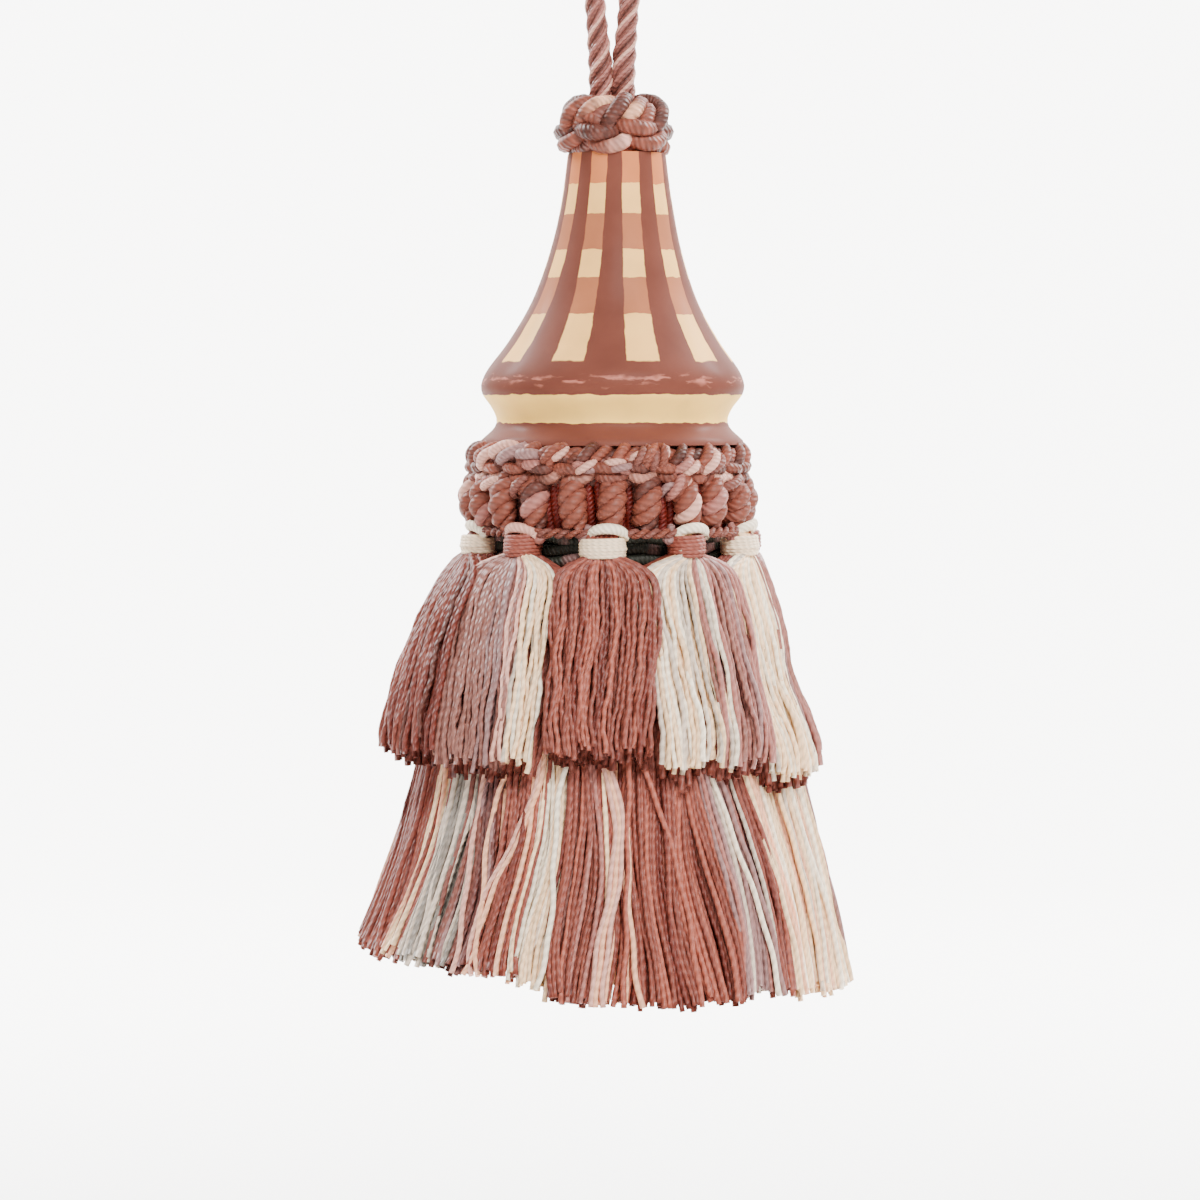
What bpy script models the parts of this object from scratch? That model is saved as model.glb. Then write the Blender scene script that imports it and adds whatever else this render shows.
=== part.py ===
"""A key tassel: cord loop, plaited collar, turned and painted mould, gimp heading and two tiers of yarn.

Sizes are in millimetres and angles in degrees. +Z is up and the front is -Y. An angle runs from the front
towards +X. The origin is the inner top of the hanging loop, where a hook or the bow of a key bears.
"""

import math
import random
from collections import namedtuple

import bmesh
import bpy
import numpy as np
from mathutils import Vector

MM = 0.001
GAP = 0.3  # left between pieces that touch on the real tassel

# Hanging cord: four plies twisted together, doubled into a loop.
CORD_DIAMETER = 3.1
CORD_PLIES = 4
CORD_LAY = 10.8  # height of one turn of the plies
CORD_STEP = 1.5
CORD_PLY_POINTS = 2  # points across each ply of the section
CORD_GROOVE = 0.8  # how far out the groove between two plies lies, as a share of the radius
LOOP_DROP = 52.0  # inner top of the loop to the top of the collar

# Collar: three gimp cords plaited into a ring round the cord.
COLLAR_HEIGHT = 9.2
COLLAR_RADIUS = 8.7
COLLAR_HOLE = 3.5
COLLAR_CORD = 3.6  # diameter of one gimp cord
COLLAR_REPEATS = 2
COLLAR_SECTIONS = 36
COLLAR_POINTS = 9
COLLAR_CORE_OUT = 0.75  # between the cords the ring is this share of a cord's radius thicker than their paths
COLLAR_CORE_UP = 0.5

# Heading: a roll of fringe that the gimp is wound on, and the gimp's plait and row of loops.
ROLL_RADIUS = 16.0
ROLL_HEIGHT = 16.2
PLAIT_HEIGHT = 5.5
PLAIT_RADIUS = 21.3
PLAIT_CORD = 2.9
PLAIT_DEPTH = 0.75  # how far its cords pass in and out
PLAIT_REPEATS = 8
PLAIT_SECTIONS = 72
PLAIT_CORE = 0.3  # between its cords the band lies this share of a cord's radius inside their middle
LOOPS_HEIGHT = 6.2
LOOPS_RADIUS = 22.7
LOOPS_GROOVE = 2.3  # depth between two loops
LOOPS_TUCK = 1.4  # how far the loops' ends turn in at the top and the bottom
LOOP_COUNT = 22
LOOP_SECTIONS = 3  # for each loop

# Upper tier: small tassels tied at the neck.
NECK_CENTRE = 20.3  # distance of a neck from the tassel's middle
NECK_ACROSS = 2.6  # half width of a neck, along the ring
NECK_THROUGH = 2.0  # half depth of a neck
NECK_HEIGHT = 3.4
NECK_SIDES = 10
KNOB_HEIGHT = 1.1  # the folded yarn above the binding
KNOB_SPREAD = 0.45
BINDING_HEIGHT = 2.9
BINDING_WALL = 0.9
BINDING_EDGE = 0.6  # its wall at its upper and lower edge, as a share of that at its middle
BINDING_SIDES = 12
TASSEL_COLUMNS = 6  # locks side by side in each of a small tassel's two rows
ROOTS_ACROSS = 0.8  # the share of a neck's width that the roots of its locks take up
LOCK_ROOT = 1.0  # how far a lock reaches up into its neck
LOCK_ROW = 0.9  # how far the two rows of roots lie out from and in from the neck's middle
LOCK_SHARE = 0.86  # a lock's width, as a share of its room
LOCK_THROUGH = (1.0, 1.5)  # its depth at the neck and at the hem
ROW_GAP = 0.2  # between the outer and the inner row
SKIRT_GAP = 1.3  # from the lower skirt to the middle of the inner row
TASSEL_HALF_ANGLE = 16.4  # a small tassel's half width at its hem, leaving a gap to the next
UPPER_EASE = 0.6  # how early the upper tier spreads below its necks
UPPER_EASE_SWAY = 0.15  # it spreads earlier than that on the -X side, and later on the other

# How a small tassel's locks fan out, by their share of the way from the neck to the hem.
FanRow = namedtuple("FanRow", "share fan")
TASSEL_FAN = (
    FanRow(0.0, 0.0),
    FanRow(0.033, 0.0),
    FanRow(0.12, 0.60),
    FanRow(0.40, 0.92),
    FanRow(1.0, 1.0),
)

# Lower skirt: cut yarn hanging from the roll.
LOWER_HEM = 183.0  # drop of its hem below the origin
LOWER_SPREAD = 21.2  # how much wider its hem is than the roll
LOWER_EASE = 0.75
LOWER_SWAY = 1.35  # the skirt hangs this much towards -X

# Levels, as drops below the origin.
COLLAR_TOP = LOOP_DROP
MOULD_TOP = COLLAR_TOP + COLLAR_HEIGHT + GAP

MouldRow = namedtuple("MouldRow", "drop radius")
MOULD = (
    MouldRow(0.0, 7.3),
    MouldRow(6.75, 8.2),
    MouldRow(14.0, 9.7),
    MouldRow(21.5, 12.2),
    MouldRow(27.5, 15.5),
    MouldRow(31.8, 18.6),
    MouldRow(33.6, 19.5),
    MouldRow(34.8, 19.7),
    MouldRow(36.0, 19.3),
    MouldRow(37.6, 18.1),
    MouldRow(39.4, 17.3),
    MouldRow(40.8, 17.7),
    MouldRow(42.6, 19.6),
    MouldRow(43.2, 19.7),
)
MOULD_SIDES = 40
MOULD_FOOT = MOULD_TOP + MOULD[-1].drop
ROLL_TOP = MOULD_FOOT + GAP
ROLL_FOOT = ROLL_TOP + ROLL_HEIGHT
PLAIT_TOP = MOULD_FOOT + GAP
LOOPS_TOP = PLAIT_TOP + PLAIT_HEIGHT + GAP
KNOB_TOP = LOOPS_TOP + LOOPS_HEIGHT + GAP

# The loop's route: up one leg, round the bight and down the other, as (x, y, drop).
CORD_ROUTE = (
    (-1.64, 0.0, 61.2),
    (-1.64, 0.0, 56.0),
    (-1.66, 0.0, 51.5),
    (-1.76, 0.0, 48.0),
    (-2.06, 0.0, 44.5),
    (-2.36, 0.0, 41.0),
    (-2.66, 0.0, 37.5),
    (-3.20, 0.1, 32.0),
    (-3.95, 0.1, 26.0),
    (-4.95, 0.1, 20.0),
    (-6.10, 0.1, 14.0),
    (-7.05, 0.0, 9.0),
    (-7.40, 0.0, 5.0),
    (-6.50, 0.0, 1.4),
    (-3.90, 0.0, -1.0),
    (0.00, 0.0, -1.65),
    (3.90, 0.0, -1.0),
    (6.50, 0.0, 1.4),
    (7.40, 0.0, 5.0),
    (7.15, 0.0, 9.0),
    (6.30, 0.1, 14.0),
    (5.15, 0.1, 20.0),
    (4.10, 0.1, 26.0),
    (3.25, 0.1, 32.0),
    (2.66, 0.0, 37.5),
    (2.36, 0.0, 41.0),
    (2.06, 0.0, 44.5),
    (1.76, 0.0, 48.0),
    (1.66, 0.0, 51.5),
    (1.64, 0.0, 56.0),
    (1.64, 0.0, 61.2),
)

SmallTassel = namedtuple("SmallTassel", "angle hem radius left right binding")
SMALL_TASSELS = (
    SmallTassel(-4, 149.3, 33.0, "rust", "rust", "cream"),
    SmallTassel(32, 151.2, 32.2, "cream", "mauve", "rust"),
    SmallTassel(68, 153.0, 31.9, "peach", "rust", "cream"),
    SmallTassel(104, 151.0, 31.7, "mauve", "cream", "rust"),
    SmallTassel(140, 150.4, 32.0, "rust", "rust", "cream"),
    SmallTassel(176, 149.6, 32.6, "cream", "mauve", "rust"),
    SmallTassel(212, 150.6, 33.4, "rust", "peach", "cream"),
    SmallTassel(248, 151.4, 34.4, "mauve", "cream", "rust"),
    SmallTassel(284, 150.6, 35.1, "rust", "rust", "cream"),
    SmallTassel(320, 151.6, 34.2, "mauve", "cream", "rust"),
)

# Rows of locks in the lower skirt, from the outside in. inset is how far a row lies inside the skirt's
# outer shape at the hem; across and through are a lock's width and depth there.
LockRow = namedtuple("LockRow", "count root inset across through sides")
LOWER_ROWS = (
    LockRow(72, 14.7, 1.4, 2.75, 2.2, 4),
    LockRow(24, 11.0, 8.0, 6.0, 5.0, 3),
    LockRow(12, 7.2, 16.5, 7.0, 6.0, 3),
    LockRow(6, 3.0, 26.0, 7.0, 6.0, 3),
)
ROOT_SHARE = 0.44  # a lock's width at its root, as a share of that at its hem

# Colours of the lower skirt, each from its angle up to the next row's.
ColourBand = namedtuple("ColourBand", "start colour")
LOWER_COLOURS = (
    ColourBand(-100, "rust"),
    ColourBand(-60, "peach"),
    ColourBand(-53, "cream"),
    ColourBand(-44, "mauve"),
    ColourBand(-30, "peach"),
    ColourBand(-26, "rust"),
    ColourBand(-21, "cream"),
    ColourBand(-13, "rust"),
    ColourBand(-4, "peach"),
    ColourBand(1, "rust"),
    ColourBand(31, "mauve"),
    ColourBand(43, "rust"),
    ColourBand(47, "peach"),
    ColourBand(51, "cream"),
    ColourBand(92, "mauve"),
    ColourBand(112, "rust"),
    ColourBand(150, "cream"),
    ColourBand(172, "peach"),
    ColourBand(180, "rust"),
    ColourBand(214, "mauve"),
    ColourBand(232, "cream"),
)

COLOURS = {
    "rust": "a3604f",
    "mauve": "b38d89",
    "cream": "e0d2c0",
    "peach": "e2b49c",
    "painted wood": "a25f4e",
    "cord rose": "ad8078",
    "gimp": "a06a5c",
    "roll": "4a4740",
}


def clear_scene():
    for existing in list(bpy.data.objects):
        bpy.data.objects.remove(existing)


def linear(hex_colour):
    """An sRGB hex colour as the linear RGBA that a shader reads."""
    channels = [int(hex_colour[i : i + 2], 16) / 255 for i in (0, 2, 4)]
    curve = [c / 12.92 if c <= 0.04045 else ((c + 0.055) / 1.055) ** 2.4 for c in channels]
    return (*curve, 1.0)


def material(name, roughness):
    """The Principled material of that colour, made the first time that it is asked for."""
    made = bpy.data.materials.get(name)
    if made is None:
        made = bpy.data.materials.new(name)
        made.use_nodes = True
        shader = made.node_tree.nodes["Principled BSDF"]
        shader.inputs["Base Color"].default_value = linear(COLOURS[name])
        shader.inputs["Roughness"].default_value = roughness
        shader.inputs["Metallic"].default_value = 0.0
    return made


def yarn(name):
    return material(name, roughness=0.7)


def polar(radius, angle, drop):
    turn = math.radians(angle)
    return Vector((radius * math.sin(turn), -radius * math.cos(turn), -drop))


def loft(bm, rings, closed=False, slot=0):
    """Joins rings of points with quads. A closed loft runs round to its first ring; an open one is capped."""
    rows = [[bm.verts.new(point * MM) for point in ring] for ring in rings]
    pairs = list(zip(rows, rows[1:]))
    if closed:
        pairs.append((rows[-1], rows[0]))
    for low, high in pairs:
        for i in range(len(low)):
            j = (i + 1) % len(low)
            bm.faces.new((low[i], low[j], high[j], high[i])).material_index = slot
    if not closed:
        bm.faces.new(rows[0][::-1]).material_index = slot
        bm.faces.new(rows[-1]).material_index = slot


def add_object(name, bm, materials, smooth_angle=None):
    """Turns the mesh's faces outwards and links it as an object of that name."""
    bmesh.ops.recalc_face_normals(bm, faces=bm.faces)
    mesh = bpy.data.meshes.new(name)
    bm.to_mesh(mesh)
    bm.free()
    for each in materials:
        mesh.materials.append(each)
    if smooth_angle is not None:
        mesh.shade_smooth()
        mesh.set_sharp_from_angle(angle=math.radians(smooth_angle))
    made = bpy.data.objects.new(name, mesh)
    bpy.context.scene.collection.objects.link(made)
    return made


def make_helper(helper):
    helper.hide_render = True
    helper.display_type = "WIRE"


def fuse(backing, locks):
    """Joins the roots of the locks into their backing."""
    make_helper(locks)
    union = backing.modifiers.new("Roots", "BOOLEAN")
    union.operation = "UNION"
    union.object = locks


def smooth_line(points, step):
    """Points about step apart on a Catmull-Rom curve through the given points."""
    knots = np.array(points, float)
    knots = np.vstack([2 * knots[0] - knots[1], knots, 2 * knots[-1] - knots[-2]])
    share = np.linspace(0, 1, 16, endpoint=False)[:, None]
    spans = []
    for before, start, end, after in zip(knots, knots[1:], knots[2:], knots[3:]):
        spans.append(
            0.5
            * (
                2 * start
                + (end - before) * share
                + (2 * before - 5 * start + 4 * end - after) * share**2
                + (3 * start - before - 3 * end + after) * share**3
            )
        )
    line = np.vstack([*spans, knots[-2:-1]])
    along = np.concatenate([[0], np.cumsum(np.linalg.norm(np.diff(line, axis=0), axis=1))])
    at = np.linspace(0, along[-1], round(along[-1] / step) + 1)
    return np.stack([np.interp(at, along, line[:, k]) for k in range(3)], axis=1), at


def plait_cords(turn, repeats, across, depth):
    """Where a plait's three cords stand at an angle round the ring, as (depth, height) from its middle."""
    for cord in range(3):
        phase = math.radians(repeats * turn + 120 * cord)
        yield depth * math.sin(2 * phase), across * math.sin(phase)


# Hanging cord


def make_hanging_cord():
    """Four plies lying together, swept along the loop and turned once in each lay."""
    line, along = smooth_line(CORD_ROUTE, CORD_STEP)
    ways = np.gradient(line, axis=0)
    count = CORD_PLIES * CORD_PLY_POINTS
    rings = []
    for (x, y, drop), (way_x, _, way_drop), distance in zip(line, ways, along):
        centre = Vector((x, y, -drop))
        sideways = Vector((-way_drop, 0, -way_x)).normalized()
        ring = []
        for i in range(count):
            in_groove = i % CORD_PLY_POINTS == 0
            radius = CORD_DIAMETER / 2 * (CORD_GROOVE if in_groove else 1.0)
            turn = 2 * math.pi * (i / count + distance / CORD_LAY)
            ring.append(centre + radius * (sideways * math.cos(turn) + Vector((0, math.sin(turn), 0))))
        rings.append(ring)
    bm = bmesh.new()
    loft(bm, rings)
    add_object("hanging_cord", bm, [material("cord rose", roughness=0.6)], smooth_angle=50)


# Plaited collar on top of the mould


def make_collar():
    """A ring whose section bulges where one of the three plaited cords lies."""
    cord = COLLAR_CORD / 2
    middle = (COLLAR_RADIUS + COLLAR_HOLE) / 2
    across = COLLAR_HEIGHT / 2 - cord
    depth = (COLLAR_RADIUS - COLLAR_HOLE) / 2 - cord
    core_out = depth + COLLAR_CORE_OUT * cord
    core_up = across + COLLAR_CORE_UP * cord
    rings = []
    for i in range(COLLAR_SECTIONS):
        angle = 360 * i / COLLAR_SECTIONS
        cords = list(plait_cords(angle, COLLAR_REPEATS, across, depth))
        ring = []
        for j in range(COLLAR_POINTS):
            turn = 2 * math.pi * j / COLLAR_POINTS
            out, up = math.cos(turn), math.sin(turn)
            reach = 1 / math.hypot(out / core_out, up / core_up)
            for cord_out, cord_up in cords:
                beside = cord_out * up - cord_up * out
                if abs(beside) < cord:
                    reach = max(reach, cord_out * out + cord_up * up + math.sqrt(cord**2 - beside**2))
            drop = COLLAR_TOP + COLLAR_HEIGHT / 2 - reach * up
            ring.append(polar(middle + reach * out, angle, drop))
        rings.append(ring)
    bm = bmesh.new()
    loft(bm, rings, closed=True)
    add_object("collar", bm, [material("gimp", roughness=0.7)], smooth_angle=50)


# Turned and painted mould


def make_mould():
    rings = [
        [polar(row.radius, 360 * i / MOULD_SIDES, MOULD_TOP + row.drop) for i in range(MOULD_SIDES)]
        for row in MOULD
    ]
    bm = bmesh.new()
    loft(bm, rings)
    add_object("mould", bm, [material("painted wood", roughness=0.3)], smooth_angle=35)


# Gimp heading


def ring_with_relief(name, top, height, sections, outer_radius, rows):
    """A band round the roll whose outer face stands at outer_radius(angle, share of the height)."""
    inner = ROLL_RADIUS + GAP
    rings = []
    for i in range(sections):
        angle = 360 * i / sections
        ring = [polar(inner, angle, top + height), polar(inner, angle, top)]
        for row in range(rows):
            share = row / (rows - 1)
            ring.append(polar(outer_radius(angle, share), angle, top + height * share))
        rings.append(ring)
    bm = bmesh.new()
    loft(bm, rings, closed=True)
    add_object(name, bm, [material("gimp", roughness=0.7)], smooth_angle=60)


def make_gimp_plait():
    cord = PLAIT_CORD / 2
    across = PLAIT_HEIGHT / 2 - cord
    middle = PLAIT_RADIUS - cord - PLAIT_DEPTH

    def outer_radius(angle, share):
        height = PLAIT_HEIGHT * (0.5 - share)
        radius = middle - PLAIT_CORE * cord
        for cord_out, cord_up in plait_cords(angle, PLAIT_REPEATS, across, PLAIT_DEPTH):
            beside = height - cord_up
            if abs(beside) < cord:
                radius = max(radius, middle + cord_out + math.sqrt(cord**2 - beside**2))
        return radius

    ring_with_relief("gimp_plait", PLAIT_TOP, PLAIT_HEIGHT, PLAIT_SECTIONS, outer_radius, rows=5)


def make_gimp_loops():
    base = LOOPS_RADIUS - LOOPS_GROOVE - LOOPS_TUCK

    def outer_radius(angle, share):
        lobe = math.sqrt(abs(math.cos(math.radians(angle * LOOP_COUNT / 2))))
        bulge = math.sqrt(math.sin(math.pi * (0.12 + 0.76 * share)))
        return base + (LOOPS_TUCK + LOOPS_GROOVE * lobe) * bulge

    ring_with_relief("gimp_loops", LOOPS_TOP, LOOPS_HEIGHT, LOOP_SECTIONS * LOOP_COUNT, outer_radius, rows=4)


# Small tassels of the upper tier


def ellipse_ring(angle, drop, across, through, sides):
    """Points of an ellipse round a neck. Its width lies along the tassel's ring."""
    centre = polar(NECK_CENTRE, angle, drop)
    along = polar(1, angle + 90, 0)
    outward = polar(1, angle, 0)
    turns = [2 * math.pi * i / sides for i in range(sides)]
    return [centre + along * across * math.cos(t) + outward * through * math.sin(t) for t in turns]


def lower_skirt_radius(angle, drop):
    """The outer shape of the lower skirt."""
    share = max(0.0, (drop - ROLL_FOOT) / (LOWER_HEM - ROLL_FOOT))
    sway = LOWER_SWAY * math.sin(math.radians(angle)) * min(1.0, share / 0.5)
    return ROLL_RADIUS + LOWER_SPREAD * share**LOWER_EASE - sway


def lock_rings(stations, sides):
    """Rings of a lock with 3 or 4 sides and a ridge outwards, from (radius, angle, drop, across, through)."""
    rings = []
    for radius, angle, drop, across, through in stations:
        centre = polar(radius, angle, drop)
        along = polar(1, angle + 90, 0)
        outward = polar(1, angle, 0)
        ring = []
        for i in range(sides):
            turn = 2 * math.pi * i / sides
            ring.append(
                centre + along * (across / 2 * math.sin(turn)) + outward * (through / 2 * math.cos(turn))
            )
        rings.append(ring)
    return rings


def make_small_tassel(number, tassel):
    """A knob of folded yarn, its neck and twelve locks that fan out into a sector of the tier."""
    wobble = random.Random(100 + number)
    neck_top = KNOB_TOP + KNOB_HEIGHT
    neck_foot = neck_top + NECK_HEIGHT
    bm = bmesh.new()
    profile = (
        (KNOB_TOP, 0.62),
        (KNOB_TOP + 0.35 * KNOB_HEIGHT, 1 + KNOB_SPREAD / NECK_ACROSS),
        (neck_top, 1.0),
        (neck_foot, 1.0),
    )
    neck = []
    for drop, share in profile:
        neck.append(ellipse_ring(tassel.angle, drop, NECK_ACROSS * share, NECK_THROUGH * share, NECK_SIDES))
    loft(bm, neck)
    colours = [yarn(tassel.left), yarn(tassel.right)]
    head = add_object(f"small_tassel_{number:02d}", bm, colours, smooth_angle=40)

    near_angle = math.degrees(ROOTS_ACROSS * NECK_ACROSS / NECK_CENTRE)
    ease = UPPER_EASE + UPPER_EASE_SWAY * math.sin(math.radians(tassel.angle))
    bm = bmesh.new()
    for is_outer in (True, False):
        for column in range(TASSEL_COLUMNS):
            sideways = (column + 0.5) / TASSEL_COLUMNS * 2 - 1
            hem = tassel.hem + wobble.uniform(-0.7, 0.7)
            lean = wobble.uniform(-0.2, 0.2)
            stations = []
            for share, fan in TASSEL_FAN:
                drop = hem - (hem - neck_foot + LOCK_ROOT) * (1 - share)
                half_angle = near_angle + (TASSEL_HALF_ANGLE - near_angle) * fan
                angle = tassel.angle + half_angle * sideways + lean * fan
                through = LOCK_THROUGH[0] + (LOCK_THROUGH[1] - LOCK_THROUGH[0]) * fan
                radius = NECK_CENTRE + LOCK_ROW
                if fan > 0:
                    radius += (tassel.radius - 1.0 - radius) * share**ease
                if not is_outer:
                    inside = max(NECK_CENTRE - LOCK_ROW, lower_skirt_radius(angle, drop) + SKIRT_GAP)
                    radius = min(inside, radius - through - ROW_GAP)
                across = LOCK_SHARE * radius * math.radians(2 * half_angle / TASSEL_COLUMNS)
                stations.append((radius, angle, drop, across, through))
            loft(bm, lock_rings(stations, 4), slot=0 if sideways < 0 else 1)
    fuse(head, add_object(f"small_tassel_{number:02d}_locks", bm, colours))


def make_binding(number, tassel):
    """The thread wound round a neck, as a band that is fullest at its middle."""
    top = KNOB_TOP + KNOB_HEIGHT + (NECK_HEIGHT - BINDING_HEIGHT) / 2
    foot = top + BINDING_HEIGHT
    edge = GAP + BINDING_EDGE * BINDING_WALL
    profile = (
        (foot, GAP),
        (top, GAP),
        (top, edge),
        ((top + foot) / 2, GAP + BINDING_WALL),
        (foot, edge),
    )
    walls = []
    for drop, out in profile:
        walls.append(ellipse_ring(tassel.angle, drop, NECK_ACROSS + out, NECK_THROUGH + out, BINDING_SIDES))
    bm = bmesh.new()
    loft(bm, walls, closed=True)
    add_object(f"binding_{number:02d}", bm, [yarn(tassel.binding)], smooth_angle=50)


# Lower skirt


def lower_colour(angle):
    """The number of the colour band that an angle falls in."""
    angle = (angle - LOWER_COLOURS[0].start) % 360 + LOWER_COLOURS[0].start
    return max(i for i, band in enumerate(LOWER_COLOURS) if band.start <= angle)


def make_lower_skirt():
    """The roll of fringe, and rows of locks that hang from its foot."""
    yarns = [yarn(name) for name in ("rust", "mauve", "cream", "peach")]
    slots = {each.name: slot for slot, each in enumerate(yarns)}
    roll_colour = material("roll", roughness=0.8)
    bm = bmesh.new()
    loft(
        bm,
        [
            [polar(radius, 360 * i / MOULD_SIDES, drop) for i in range(MOULD_SIDES)]
            for radius, drop in ((ROLL_RADIUS, ROLL_TOP), (ROLL_RADIUS, ROLL_FOOT))
        ],
        slot=len(yarns),
    )
    roll = add_object("lower_skirt", bm, [*yarns, roll_colour], smooth_angle=40)

    wobble = random.Random(7)
    bm = bmesh.new()
    for number, row in enumerate(LOWER_ROWS):
        steps = (0.0, 0.02, 0.22, 0.55, 1.0) if row.sides == 4 else (0.0, 0.02, 0.4, 1.0)
        for i in range(row.count):
            angle = 360 * (i + 0.37 * number) / row.count + 0.31
            hem = LOWER_HEM + wobble.uniform(-0.7, 0.7) + 0.4 * math.sin(math.radians(angle))
            wave = 0.9 * math.sin(math.radians(5 * angle)) + wobble.uniform(-0.25, 0.25)
            stations = []
            for share in steps:
                drop = ROLL_FOOT - 1.4 + (hem - ROLL_FOOT + 1.4) * share
                spread = share**LOWER_EASE
                hem_radius = lower_skirt_radius(angle, hem) - row.inset
                radius = row.root + (hem_radius - row.root) * spread
                grown = ROOT_SHARE + (1 - ROOT_SHARE) * spread
                turned = angle + wave * math.sin(math.pi * share)
                stations.append((radius, turned, drop, row.across * grown, row.through * grown))
            loft(bm, lock_rings(stations, row.sides), slot=slots[LOWER_COLOURS[lower_colour(angle)].colour])
    fuse(roll, add_object("lower_skirt_locks", bm, yarns))


def main():
    clear_scene()
    make_hanging_cord()
    make_collar()
    make_mould()
    make_gimp_plait()
    make_gimp_loops()
    for number, tassel in enumerate(SMALL_TASSELS, start=1):
        make_small_tassel(number, tassel)
        make_binding(number, tassel)
    make_lower_skirt()


main()
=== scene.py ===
# %% [markdown]
# # A key tassel
#
# A key tassel hangs from a cord loop. A plaited collar sits on a turned wooden mould, a plaited gimp heading
# hides the roll of fringe under it, and two tiers of cut rayon yarn hang below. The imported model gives
# each piece's place and size. Here each piece gets the yarns that a maker would twist, plait, wind and cut.
#
# Sizes are in millimetres and angles in degrees until a mesh is made. An angle runs round the tassel from
# the front (-Y) towards +X. A drop is the distance below the inner top of the cord loop, the origin.

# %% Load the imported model
import math
from collections import namedtuple

import bpy
import numpy as np
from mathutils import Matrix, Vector


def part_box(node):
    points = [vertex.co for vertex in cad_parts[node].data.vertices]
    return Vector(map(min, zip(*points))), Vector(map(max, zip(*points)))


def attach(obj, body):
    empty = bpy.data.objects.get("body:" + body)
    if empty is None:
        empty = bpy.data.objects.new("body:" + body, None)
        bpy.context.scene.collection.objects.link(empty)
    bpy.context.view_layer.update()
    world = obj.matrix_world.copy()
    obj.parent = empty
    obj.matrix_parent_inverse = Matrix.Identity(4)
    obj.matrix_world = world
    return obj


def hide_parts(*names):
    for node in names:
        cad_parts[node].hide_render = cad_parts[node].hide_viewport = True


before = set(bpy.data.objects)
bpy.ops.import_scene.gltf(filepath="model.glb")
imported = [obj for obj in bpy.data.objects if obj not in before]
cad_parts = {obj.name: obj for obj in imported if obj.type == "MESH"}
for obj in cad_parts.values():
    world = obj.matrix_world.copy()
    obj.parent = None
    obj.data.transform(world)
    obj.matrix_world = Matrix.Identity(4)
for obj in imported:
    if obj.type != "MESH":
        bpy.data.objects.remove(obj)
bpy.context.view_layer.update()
MM = 0.001

# %% [markdown]
# ## The camera
#
# The photograph looks at the tassel from straight in front. The hem's front shows lower than its sides, as
# it does when a lens looks down on it from about the height of the mould's lip and half a metre away. A long
# lens from there keeps the tassel's proportions, so the camera stands there and isn't shifted.

# %% Stand the camera where the photograph was taken
FRAME_WIDTH = 180.0  # mm across the photograph's frame, at the tassel's middle
CAMERA_DISTANCE = 560.0
CAMERA_DROP = 98.0
AIM_X = -1.8
AIM_DROP = 128.05
SENSOR = 36.0

camera_data = bpy.data.cameras.new("photo_camera")
camera_data.sensor_width = SENSOR
camera_data.lens = SENSOR * math.hypot(CAMERA_DISTANCE, AIM_DROP - CAMERA_DROP) / FRAME_WIDTH
camera_data.clip_start = 0.01
camera = bpy.data.objects.new("photo_camera", camera_data)
camera.location = (AIM_X * MM, -CAMERA_DISTANCE * MM, -CAMERA_DROP * MM)
tilt = math.atan2(AIM_DROP - CAMERA_DROP, CAMERA_DISTANCE)
camera.rotation_euler = (math.pi / 2 - tilt, 0, 0)
bpy.context.scene.collection.objects.link(camera)
bpy.context.scene.camera = camera
print("lens in mm", round(camera_data.lens, 1), "tilt in degrees", round(math.degrees(tilt), 2))

# %% [markdown]
# ## Tubes of yarn
#
# Nearly everything on a tassel is yarn, so one function sweeps many yarns at once. It takes the paths as an
# array, one row for each yarn, and puts a ring of points round every step of each path. Curve objects with a
# bevel would be simpler, but a thousand of them are slow, and a mesh can carry each yarn's own colour and a
# UV map that follows its length, which the twist in the material needs.

# %% A function that sweeps yarns along paths
Yarns = namedtuple("Yarns", "points faces uvs colours")


def unit(vectors):
    return vectors / np.maximum(np.linalg.norm(vectors, axis=-1, keepdims=True), 1e-12)


def lengths_along(paths):
    """How far each point of each path is along it."""
    steps = np.linalg.norm(np.diff(paths, axis=1), axis=2)
    return np.concatenate([np.zeros((len(paths), 1)), np.cumsum(steps, axis=1)], axis=1)


def path_sides(paths, outward):
    """Two unit vectors across each path: one away from outward's plane, and one close to outward."""
    ways = unit(np.gradient(paths, axis=1))
    across = unit(np.cross(ways, np.broadcast_to(outward, paths.shape)))
    return across, unit(np.cross(across, ways))


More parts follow.
